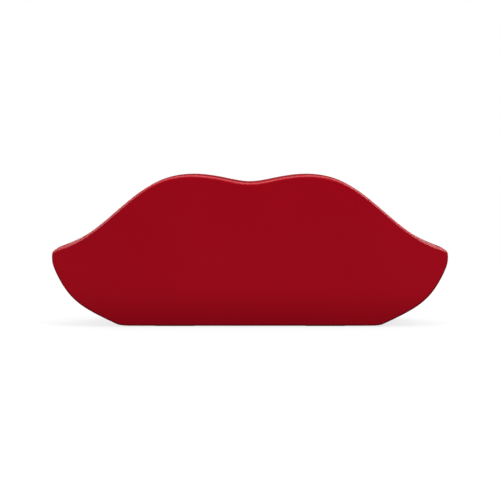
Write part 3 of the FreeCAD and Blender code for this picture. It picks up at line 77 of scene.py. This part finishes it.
nodes = frame["nodes"]
scene = bpy.context.scene

MM = 0.001
SMOOTH_ANGLE = math.radians(32)

# ---------------------------------------------------------------- node helpers


def new_material(name):
    """A material with its shader and node tree, and a position texture coordinate in the row frame."""
    material = bpy.data.materials.new(name)
    material.use_nodes = True
    tree = material.node_tree
    shader = tree.nodes["Principled BSDF"]
    place = tree.nodes.new("ShaderNodeTexCoord").outputs["Object"]
    return material, tree, shader, place


def noise(tree, place, scale, detail=3.0, roughness=0.5, stretch=None):
    """Noise by position. scale is in features per metre."""
    source = place
    if stretch:
        mapping = tree.nodes.new("ShaderNodeMapping")
        mapping.inputs["Scale"].default_value = stretch
        tree.links.new(place, mapping.inputs["Vector"])
        source = mapping.outputs["Vector"]
    made = tree.nodes.new("ShaderNodeTexNoise")
    made.inputs["Scale"].default_value = scale
    made.inputs["Detail"].default_value = detail
    made.inputs["Roughness"].default_value = roughness
    tree.links.new(source, made.inputs["Vector"])
    return made.outputs["Fac"]


def cells(tree, place, scale):
    """Distance to the nearest cell centre, for grain and pits."""
    made = tree.nodes.new("ShaderNodeTexVoronoi")
    made.inputs["Scale"].default_value = scale
    tree.links.new(place, made.inputs["Vector"])
    return made.outputs["Distance"]


def ramp(tree, factor, stops):
    """A colour ramp through (position, colour) stops."""
    made = tree.nodes.new("ShaderNodeValToRGB")
    band = made.color_ramp
    while len(band.elements) < len(stops):
        band.elements.new(0.5)
    for element, (position, colour) in zip(band.elements, stops):
        element.position = position
        element.color = (*colour, 1.0)
    tree.links.new(factor, made.inputs["Fac"])
    return made.outputs["Color"]


def spread(tree, factor, low_value, high_value, start=0.3, end=0.7):
    """Maps a noise's useful range to a range of values."""
    made = tree.nodes.new("ShaderNodeMapRange")
    made.inputs["From Min"].default_value = start
    made.inputs["From Max"].default_value = end
    made.inputs["To Min"].default_value = low_value
    made.inputs["To Max"].default_value = high_value
    tree.links.new(factor, made.inputs["Value"])
    return made.outputs["Result"]


def bump(tree, shader, layers):
    """Stacks (height, strength, distance) layers of bump onto the shader's normal."""
    normal = None
    for height, strength, distance in layers:
        made = tree.nodes.new("ShaderNodeBump")
        made.inputs["Strength"].default_value = strength
        made.inputs["Distance"].default_value = distance
        tree.links.new(height, made.inputs["Height"])
        if normal:
            tree.links.new(normal, made.inputs["Normal"])
        normal = made.outputs["Normal"]
    tree.links.new(normal, shader.inputs["Normal"])


def shade(colour, factor):
    """A colour with each channel times factor."""
    return tuple(min(1.0, c * factor) for c in colour)


# ---------------------------------------------------------------- materials


def moulded_plastic(name, colour, roughness, grain=0.02, mottle=0.05, scuffs=0.0):
    """Injection-moulded plastic: a slight mottle, a fine grain, faint waviness and rubbed patches."""
    material, tree, shader, place = new_material(name)
    broad = noise(tree, place, 28.0, 4.0)
    tint = ramp(tree, broad, [(0.3, shade(colour, 1 - mottle)), (0.7, shade(colour, 1 + mottle))])
    tree.links.new(tint, shader.inputs["Base Color"])
    rubbed = noise(tree, place, 60.0, 6.0, 0.65)
    tree.links.new(spread(tree, rubbed, roughness - 0.05, roughness + 0.07), shader.inputs["Roughness"])
    layers = [
        (noise(tree, place, 90.0, 2.0), 0.06, 0.0004),
        (noise(tree, place, 1500.0, 2.0), grain * 4, 0.00006),
    ]
    if scuffs:
        scratches = noise(tree, place, 220.0, 5.0, 0.6, stretch=(0.12, 1.0, 2.6))
        lines = spread(tree, scratches, 0.0, 1.0, 0.62, 0.66)
        layers.append((lines, scuffs, 0.00002))
    bump(tree, shader, layers)
    return material


def lip_casing():
    """Crimson ABS with a soft gloss, fine orange peel and a trace of grain."""
    colour = (0.335, 0.0012, 0.0085)
    material, tree, shader, place = new_material("lip_casing")
    broad = noise(tree, place, 16.0, 3.0)
    tint = ramp(tree, broad, [(0.3, shade(colour, 0.97)), (0.7, shade(colour, 1.03))])
    tree.links.new(tint, shader.inputs["Base Color"])
    rubbed = noise(tree, place, 24.0, 2.0)
    tree.links.new(spread(tree, rubbed, 0.225, 0.26), shader.inputs["Roughness"])
    shader.inputs["Specular IOR Level"].default_value = 0.28
    orange_peel = noise(tree, place, 340.0, 2.0)
    grain = noise(tree, place, 2600.0, 1.0)
    bump(tree, shader, [(orange_peel, 0.05, 0.0002), (grain, 0.035, 0.00005)])
    return material


def textured_black(name, colour=(0.018, 0.017, 0.019), roughness=0.46):
    """Black plastic with the pitted texture of a spark-eroded mould."""
    material, tree, shader, place = new_material(name)
    broad = noise(tree, place, 40.0, 4.0)
    tint = ramp(tree, broad, [(0.3, shade(colour, 0.85)), (0.7, shade(colour, 1.25))])
    tree.links.new(tint, shader.inputs["Base Color"])
    worn = noise(tree, place, 75.0, 6.0, 0.62)
    tree.links.new(spread(tree, worn, roughness - 0.06, roughness + 0.1), shader.inputs["Roughness"])
    pits = cells(tree, place, 2100.0)
    unevenness = noise(tree, place, 900.0)
    bump(tree, shader, [(pits, 0.22, 0.00008), (unevenness, 0.15, 0.00008)])
    return material


def rubber(name, colour, roughness=0.72):
    """Matte rubber with a dusty bloom and a fine tooth."""
    material, tree, shader, place = new_material(name)
    bloom = noise(tree, place, 130.0, 6.0, 0.7)
    tint = ramp(tree, bloom, [(0.35, colour), (0.75, shade(colour, 1.9))])
    tree.links.new(tint, shader.inputs["Base Color"])
    shader.inputs["Roughness"].default_value = roughness
    shader.inputs["Specular IOR Level"].default_value = 0.3
    bump(tree, shader, [(noise(tree, place, 2200.0, 3.0), 0.25, 0.00008)])
    return material


def metal(name, colour, roughness, brushed=(1.0, 1.0, 1.0)):
    """Bare or plated metal with drawn lines along one axis and a little tarnish."""
    material, tree, shader, place = new_material(name)
    tarnish = noise(tree, place, 90.0, 6.0, 0.6)
    tint = ramp(tree, tarnish, [(0.35, shade(colour, 0.72)), (0.65, colour)])
    tree.links.new(tint, shader.inputs["Base Color"])
    shader.inputs["Metallic"].default_value = 1.0
    drawn = noise(tree, place, 900.0, 4.0, 0.5, stretch=brushed)
    tree.links.new(spread(tree, drawn, roughness - 0.08, roughness + 0.1), shader.inputs["Roughness"])
    bump(tree, shader, [(drawn, 0.12, 0.00004)])
    return material


def board_laminate():
    """Green solder mask over a glass weave, with paler blotches where copper lies under it."""
    material, tree, shader, place = new_material("board_laminate")
    copper = spread(tree, noise(tree, place, 150.0, 1.0, stretch=(1.0, 2.4, 1.0)), 0.0, 1.0, 0.49, 0.51)
    tint = ramp(tree, copper, [(0.0, (0.012, 0.075, 0.024)), (1.0, (0.03, 0.14, 0.045))])
    tree.links.new(tint, shader.inputs["Base Color"])
    shader.inputs["Roughness"].default_value = 0.3
    weave = noise(tree, place, 1400.0, 1.0, stretch=(1.0, 0.25, 1.0))
    bump(tree, shader, [(copper, 0.3, 0.00003), (weave, 0.1, 0.00004)])
    return material


MATERIALS = {
    "lip_casing": lip_casing,
    "black_plastic": lambda: textured_black("black_plastic"),
    "panel_plastic": lambda: textured_black("panel_plastic", (0.021, 0.02, 0.022), 0.42),
    "black_rubber": lambda: rubber("black_rubber", (0.017, 0.017, 0.018)),
    "silicone": lambda: rubber("silicone", (0.4, 0.41, 0.42), 0.55),
    "foam": lambda: rubber("foam", (0.03, 0.03, 0.03), 0.9),
    "board_laminate": board_laminate,
    "chip_plastic": lambda: textured_black("chip_plastic", (0.022, 0.022, 0.024), 0.6),
    "capacitor_sleeve": lambda: moulded_plastic("capacitor_sleeve", (0.02, 0.05, 0.2), 0.25),
    "resistor_body": lambda: moulded_plastic("resistor_body", (0.6, 0.44, 0.27), 0.4),
    "connector_plastic": lambda: moulded_plastic("connector_plastic", (0.74, 0.71, 0.63), 0.42),
    "ivory_plastic": lambda: moulded_plastic(
        "ivory_plastic", (0.74, 0.69, 0.575), 0.34, grain=0.03, mottle=0.035, scuffs=0.12
    ),
    "tinned_steel": lambda: metal("tinned_steel", (0.62, 0.62, 0.6), 0.36, (1.0, 0.06, 1.0)),
    "spring_steel": lambda: metal("spring_steel", (0.56, 0.56, 0.57), 0.3),
    "capsule_can": lambda: metal("capsule_can", (0.7, 0.71, 0.72), 0.34, (1.0, 1.0, 0.08)),
    "gold_contact": lambda: metal("gold_contact", (0.86, 0.62, 0.24), 0.22),
    "ballast_steel": lambda: metal("ballast_steel", (0.33, 0.33, 0.34), 0.5, (0.06, 1.0, 1.0)),
    "screw_steel": lambda: metal("screw_steel", (0.55, 0.55, 0.54), 0.33),
    "lead_red": lambda: moulded_plastic("lead_red", (0.42, 0.015, 0.015), 0.4),
    "lead_yellow": lambda: moulded_plastic("lead_yellow", (0.62, 0.42, 0.03), 0.4),
    "lead_blue": lambda: moulded_plastic("lead_blue", (0.02, 0.06, 0.36), 0.4),
    "lead_green": lambda: moulded_plastic("lead_green", (0.02, 0.2, 0.05), 0.4),
}


def print_ink(name, colour):
    """Pad-printed ink: slightly uneven in tone and gloss."""
    material, tree, shader, place = new_material(name)
    blotches = noise(tree, place, 900.0, 3.0)
    tint = ramp(tree, blotches, [(0.3, shade(colour, 0.85)), (0.7, shade(colour, 1.15))])
    tree.links.new(tint, shader.inputs["Base Color"])
    shader.inputs["Roughness"].default_value = 0.5
    bump(tree, shader, [(noise(tree, place, 3000.0), 0.08, 0.00002)])
    return material


def paint(mesh, material):
    """Makes a material the mesh's only one."""
    mesh.materials.clear()
    mesh.materials.append(material)


def smooth(mesh):
    """Shades a mesh smooth, with crisp edges where its faces meet at a wide angle."""
    mesh.polygons.foreach_set("use_smooth", [True] * len(mesh.polygons))
    mesh.set_sharp_from_angle(angle=SMOOTH_ANGLE)


def finish_cad_nodes():
    """Gives every CAD node its material and smooth shading, and returns the materials by slot."""
    made = {slot: build() for slot, build in MATERIALS.items()}
    for entry in frame["record"]["subparts"]:
        mesh = nodes[entry["node"]].data
        paint(mesh, made[entry["material_slot"]])
        smooth(mesh)
    return made


# ---------------------------------------------------------------- making pieces


def link_piece(name, mesh, material):
    """Links a mesh to the scene as a piece with one material."""
    mesh.name = name
    paint(mesh, material)
    piece = bpy.data.objects.new(name, mesh)
    scene.collection.objects.link(piece)
    return piece


def add_piece(name, mesh, material, body):
    """Links a piece to the scene and lets it ride on a body."""
    piece = link_piece(name, mesh, material)
    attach(piece, body)
    return piece


def mesh_from(work, name):
    """A mesh from a bmesh, which is then freed."""
    mesh = bpy.data.meshes.new(name)
    work.to_mesh(mesh)
    work.free()
    return mesh


def mesh_of(curve):
    """The mesh that a curve or a line of text makes."""
    holder = bpy.data.objects.new(curve.name + "_holder", curve)
    scene.collection.objects.link(holder)
    bpy.context.view_layer.update()
    mesh = bpy.data.meshes.new_from_object(holder.evaluated_get(bpy.context.evaluated_depsgraph_get()))
    bpy.data.objects.remove(holder)
    return mesh


# ---------------------------------------------------------------- printed marks on the working face

INK_THICK = 0.03 * MM
DIGIT_TALL, LETTERS_TALL, SYMBOL_TALL = 5.6 * MM, 2.1 * MM, 6.4 * MM
DIGIT_SHIFT, LETTERS_SHIFT = 1.0 * MM, 3.0 * MM
REDIAL_TRIANGLE = [(-1.3 * MM, -1.2 * MM), (1.3 * MM, -1.2 * MM), (0.0, 1.3 * MM)]
FLASH_HALF_LONG, FLASH_HALF_WIDE = 1.8 * MM, 0.35 * MM
MUTE_RADIUS = 1.0 * MM
VOLUME_DOTS = (0.35 * MM, 0.6 * MM, 0.9 * MM)
VOLUME_ASIDE, VOLUME_STEP = 3.6 * MM, 2.2 * MM
MODE_RADIUS = 0.45 * MM
MODE_ASIDE, MODE_STEP = 3.2 * MM, 3.0 * MM
LETTERS = {2: "ABC", 3: "DEF", 4: "GHI", 5: "JKL", 6: "MNO", 7: "PRS", 8: "TUV", 9: "WXY", 0: "OPER"}
SYMBOLS = {"key_star": "*", "key_hash": "#"}


def underside_matrix(x, y, z):
    """Places flat work on the underside: it faces down, and its top points towards the earpiece."""
    turned = Matrix(((0, -1, 0), (-1, 0, 0), (0, 0, -1))).transposed().to_4x4()
    return Matrix.Translation((x, y, z)) @ turned


def text_mesh(name, text, size, at, ink, body):
    """A line of printed characters as a thin mesh."""
    curve = bpy.data.curves.new(name + "_font", "FONT")
    curve.body = text
    curve.size = size
    curve.extrude = INK_THICK / 2
    curve.align_x, curve.align_y = "CENTER", "CENTER"
    curve.resolution_u = 6
    mesh = mesh_of(curve)
    mesh.transform(underside_matrix(*at))
    add_piece(name, mesh, ink, body)


def shape_mesh(name, outline, at, ink, body):
    """A flat printed shape from an outline in its own plane."""
    work = bmesh.new()
    lower = [work.verts.new((x, y, -INK_THICK / 2)) for x, y in outline]
    upper = [work.verts.new((x, y, INK_THICK / 2)) for x, y in outline]
    work.faces.new(list(reversed(lower)))
    work.faces.new(upper)
    for i in range(len(outline)):
        j = (i + 1) % len(outline)
        work.faces.new((lower[i], lower[j], upper[j], upper[i]))
    mesh = mesh_from(work, name)
    mesh.transform(underside_matrix(*at))
    add_piece(name, mesh, ink, body)


def disc(radius, steps=24):
    """The outline of a disc."""
    angles = [2 * math.pi * i / steps for i in range(steps)]
    return [(radius * math.cos(angle), radius * math.sin(angle)) for angle in angles]


def bar(half_long, half_wide):
    """The outline of a bar."""
    signs = ((-1, -1), (1, -1), (1, 1), (-1, 1))
    return [(along * half_long, across * half_wide) for along, across in signs]


def centre_of(node):
    """The middle of a node in X and Y, and the height of its lowest face."""
    lowest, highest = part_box(node)
    return (lowest[0] + highest[0]) / 2, (lowest[1] + highest[1]) / 2, lowest[2]


def print_key_legends(ink):
    """The dialling keys' digits with their letters, and plain signs on the function keys."""
    for digit in range(10):
        node = f"key_{digit}"
        x, y, z = centre_of(node)
        lifted = z - INK_THICK / 4
        letters = LETTERS.get(digit)
        raised = DIGIT_SHIFT if letters else 0.0
        text_mesh(f"{node}_digit", str(digit), DIGIT_TALL, (x - raised, y, lifted), ink, node)
        if letters:
            text_mesh(f"{node}_letters", letters, LETTERS_TALL, (x + LETTERS_SHIFT, y, lifted), ink, node)
    for node, symbol in SYMBOLS.items():
        x, y, z = centre_of(node)
        text_mesh(f"{node}_sign", symbol, SYMBOL_TALL, (x, y, z - INK_THICK / 4), ink, node)


def print_function_signs(ink):
    """A triangle for redial, a bar for flash and a dot for mute."""
    signs = {
        "key_redial": REDIAL_TRIANGLE,
        "key_flash": bar(FLASH_HALF_LONG, FLASH_HALF_WIDE),
        "key_mute": disc(MUTE_RADIUS),
    }
    for node, outline in signs.items():
        x, y, z = centre_of(node)
        shape_mesh(f"{node}_sign", outline, (x, y, z - INK_THICK / 4), ink, node)


def print_panel_marks(ink):
    """Three dots of growing size beside the ringer's switch, and two beside the dialling mode's."""
    x, y, _ = centre_of("ringer_switch_knob")
    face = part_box("base_panel")[0][2] - INK_THICK / 4
    for i, radius in enumerate(VOLUME_DOTS):
        at = (x - VOLUME_ASIDE, y + (i - 1) * VOLUME_STEP, face)
        shape_mesh(f"ringer_mark_{i}", disc(radius), at, ink, "casing")
    x, y, _ = centre_of("mode_switch_knob")
    for i in range(2):
        at = (x + i * MODE_STEP, y - MODE_ASIDE, face)
        shape_mesh(f"mode_mark_{i}", disc(MODE_RADIUS), at, ink, "casing")


# ---------------------------------------------------------------- the keypad's silicone sheet

SHEET_THICK = 1.0 * MM
DOME_TIP_RADIUS, DOME_BASE_RADIUS = 2.6 * MM, 4.0 * MM
DOME_SIDES = 32


def silicone_piece(name, work, silicone):
    """Turns a bmesh into a piece of the silicone sheet, which rides on the casing."""
    mesh = mesh_from(work, name)
    smooth(mesh)
    piece = add_piece(name, mesh, silicone, "casing")
    return piece


def make_keypad_sheet(silicone):
    """The sheet as a plate and one dome behind each key."""
    lowest, highest = (Vector(corner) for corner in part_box("keypad_membrane"))
    plate_low = highest.z - SHEET_THICK
    work = bmesh.new()
    bmesh.ops.create_cube(work, size=1.0)
    long, deep = highest.x - lowest.x, highest.y - lowest.y
    bmesh.ops.scale(work, vec=(long, deep, SHEET_THICK), verts=work.verts)
    centre = (lowest + highest) / 2
    bmesh.ops.translate(work, vec=(centre.x, centre.y, plate_low + SHEET_THICK / 2), verts=work.verts)
    plate = silicone_piece("keypad_sheet", work, silicone)
    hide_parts("keypad_membrane")
    tall = plate_low - lowest.z
    for key in sorted(node for node in nodes if node.startswith("key_")):
        x, y, _ = centre_of(key)
        work = bmesh.new()
        bmesh.ops.create_cone(
            work, cap_ends=True, segments=DOME_SIDES,
            radius1=DOME_TIP_RADIUS, radius2=DOME_BASE_RADIUS, depth=tall,
        )
        bmesh.ops.translate(work, vec=(x, y, lowest.z + tall / 2), verts=work.verts)
        dome = silicone_piece(f"{key}_dome", work, silicone)
        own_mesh(dome)


# ---------------------------------------------------------------- the hook plunger's spring

SPRING_TURNS = 4
SPRING_WIRE = 0.3 * MM
STEPS_PER_TURN = 24


def make_hook_spring(steel):
    """The coil between the bracket, which is fixed, and the plunger's flange, which slides."""
    lowest, highest = (Vector(corner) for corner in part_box("hook_spring"))
    centre = (lowest + highest) / 2
    radius = (highest.y - lowest.y) / 2 - SPRING_WIRE
    rise = highest.z - lowest.z - 2 * SPRING_WIRE
    steps = SPRING_TURNS * STEPS_PER_TURN
    curve = bpy.data.curves.new("spring_curve", "CURVE")
    curve.dimensions = "3D"
    curve.bevel_depth = SPRING_WIRE
    curve.use_fill_caps = True
    spline = curve.splines.new("POLY")
    spline.points.add(steps)
    for i, point in enumerate(spline.points):
        angle = 2 * math.pi * i / STEPS_PER_TURN
        x = centre.x + radius * math.cos(angle)
        y = centre.y + radius * math.sin(angle)
        point.co = (x, y, lowest.z + SPRING_WIRE + rise * i / steps, 1.0)
    mesh = mesh_of(curve)
    smooth(mesh)
    coil = link_piece("hook_spring_coil", mesh, steel)
    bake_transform(coil)
    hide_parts("hook_spring")


# ---------------------------------------------------------------- stage, light and camera

FLOOR_HALF = 6.0
FLOOR_GAP = 0.05 * MM
PAPER = 0.66
BACKDROP = 1.0
UNSEEN_FLOOR = 0.05
UNSEEN_WORLD = 0.03
NEAR_RADIUS, FAR_RADIUS = 0.16, 0.55
LEAST_FADE = 0.8


def camera_switch(tree, seen, unseen):
    """Uses one shader for what the camera sees directly and another for light and reflections."""
    path = tree.nodes.new("ShaderNodeLightPath")
    mix = tree.nodes.new("ShaderNodeMixShader")
    tree.links.new(path.outputs["Is Camera Ray"], mix.inputs["Fac"])
    tree.links.new(unseen, mix.inputs[1])
    tree.links.new(seen, mix.inputs[2])
    return mix.outputs["Shader"]


def floor_material():
    """Pale paper that fades into the backdrop away from the object. Seen from below, it is clear."""
    material = bpy.data.materials.new("floor_paper")
    material.use_nodes = True
    tree = material.node_tree
    tree.nodes.remove(tree.nodes["Principled BSDF"])
    new = tree.nodes.new
    paper, dark = new("ShaderNodeBsdfDiffuse"), new("ShaderNodeBsdfDiffuse")
    glow = new("ShaderNodeEmission")
    paper.inputs["Color"].default_value = (PAPER, PAPER, PAPER, 1)
    dark.inputs["Color"].default_value = (UNSEEN_FLOOR, UNSEEN_FLOOR, UNSEEN_FLOOR, 1)
    glow.inputs["Strength"].default_value = BACKDROP
    away = new("ShaderNodeVectorMath")
    away.operation = "LENGTH"
    tree.links.new(new("ShaderNodeTexCoord").outputs["Object"], away.inputs[0])
    fade = new("ShaderNodeMapRange")
    fade.interpolation_type = "SMOOTHSTEP"
    fade.inputs["From Min"].default_value = NEAR_RADIUS
    fade.inputs["From Max"].default_value = FAR_RADIUS
    fade.inputs["To Min"].default_value = LEAST_FADE
    tree.links.new(away.outputs["Value"], fade.inputs["Value"])
    seen = new("ShaderNodeMixShader")
    tree.links.new(fade.outputs["Result"], seen.inputs["Fac"])
    tree.links.new(paper.outputs["BSDF"], seen.inputs[1])
    tree.links.new(glow.outputs["Emission"], seen.inputs[2])
    upper = camera_switch(tree, seen.outputs["Shader"], dark.outputs["BSDF"])
    clear = new("ShaderNodeMath")
    clear.operation = "MAXIMUM"
    tree.links.new(new("ShaderNodeNewGeometry").outputs["Backfacing"], clear.inputs[0])
    tree.links.new(new("ShaderNodeLightPath").outputs["Is Shadow Ray"], clear.inputs[1])
    under = new("ShaderNodeMixShader")
    tree.links.new(clear.outputs["Value"], under.inputs["Fac"])
    tree.links.new(upper, under.inputs[1])
    tree.links.new(new("ShaderNodeBsdfTransparent").outputs["BSDF"], under.inputs[2])
    tree.links.new(under.outputs["Shader"], tree.nodes["Material Output"].inputs["Surface"])
    return material


def make_floor():
    """A wide plane just under the object, which belongs to the stage."""
    mesh = bpy.data.meshes.new("floor")
    h = FLOOR_HALF
    mesh.from_pydata([(-h, -h, 0), (h, -h, 0), (h, h, 0), (-h, h, 0)], [], [(0, 1, 2, 3)])
    mesh.materials.append(floor_material())
    floor = bpy.data.objects.new("floor", mesh)
    floor.location.z = low.z - FLOOR_GAP
    scene.collection.objects.link(floor)


def make_world():
    """White where the camera sees it, and almost dark as a source of light."""
    world = bpy.data.worlds.new("studio")
    world.use_nodes = True
    tree = world.node_tree
    seen = tree.nodes["Background"]
    seen.inputs["Color"].default_value = (1, 1, 1, 1)
    seen.inputs["Strength"].default_value = BACKDROP
    unseen = tree.nodes.new("ShaderNodeBackground")
    unseen.inputs["Color"].default_value = (1, 1, 1, 1)
    unseen.inputs["Strength"].default_value = UNSEEN_WORLD
    surface = camera_switch(tree, seen.outputs["Background"], unseen.outputs["Background"])
    tree.links.new(surface, tree.nodes["World Output"].inputs["Surface"])
    scene.world = world


# Each soft box by name: where it stands in metres, its side in metres and its power in watts.
SOFT_BOXES = {
    "top_box": ((0, -0.1, 1.6), 2.2, 42),
    "rear_key": ((-0.62, 0.55, 0.68), 0.5, 8.0),
    "rear_fill": ((1.1, 0.95, 0.85), 0.8, 16.5),
    "front_fill_left": ((-0.9, -1.2, 0.6), 0.7, 9),
    "front_fill_right": ((0.9, -1.2, 0.6), 0.7, 9),
    "under_fill": ((0, 0, -1.0), 1.4, 8),
}


def soft_box(name, at, side, power, aim):
    """A square area light at one point that faces another."""
    light = bpy.data.lights.new(name, "AREA")
    light.shape = "RECTANGLE"
    light.size, light.size_y = side, side
    light.energy = power
    lamp = bpy.data.objects.new(name, light)
    lamp.location = at
    lamp.rotation_mode = "QUATERNION"
    lamp.rotation_quaternion = (Vector(aim) - Vector(at)).to_track_quat("-Z", "Y")
    scene.collection.objects.link(lamp)


def make_lights(centre):
    """Every soft box, aimed at the middle of the object."""
    for name, (at, side, power) in SOFT_BOXES.items():
        soft_box(name, at, side, power, centre)


CAMERA_DISTANCE = 0.88
CAMERA_ELEVATION = math.radians(4.5)
WIDTH_IN_FRAME = 0.796
AIM_LIFT = 0.95 * MM
SENSOR = 36.0


def make_camera(centre):
    """Looks at the plain back from slightly above, at a distance of four widths."""
    data = bpy.data.cameras.new("camera")
    data.sensor_width = SENSOR
    back_plane = Vector((centre.x, high.y, centre.z + AIM_LIFT))
    data.lens = WIDTH_IN_FRAME * SENSOR * CAMERA_DISTANCE / (high.x - low.x)
    camera = bpy.data.objects.new("camera", data)
    away = Vector((0, math.cos(CAMERA_ELEVATION), math.sin(CAMERA_ELEVATION)))
    camera.location = back_plane + away * CAMERA_DISTANCE
    camera.rotation_mode = "QUATERNION"
    camera.rotation_quaternion = (-away).to_track_quat("-Z", "Y")
    scene.collection.objects.link(camera)
    scene.camera = camera


# ---------------------------------------------------------------- the scene

made = finish_cad_nodes()
make_keypad_sheet(made["silicone"])
make_hook_spring(made["spring_steel"])
dark_ink = print_ink("key_ink", (0.025, 0.024, 0.026))
pale_ink = print_ink("panel_ink", (0.62, 0.6, 0.56))
print_key_legends(dark_ink)
print_function_signs(dark_ink)
print_panel_marks(pale_ink)

middle = (low + high) / 2
make_floor()
make_world()
make_lights(middle)
make_camera(middle)
scene.view_settings.view_transform = "Standard"
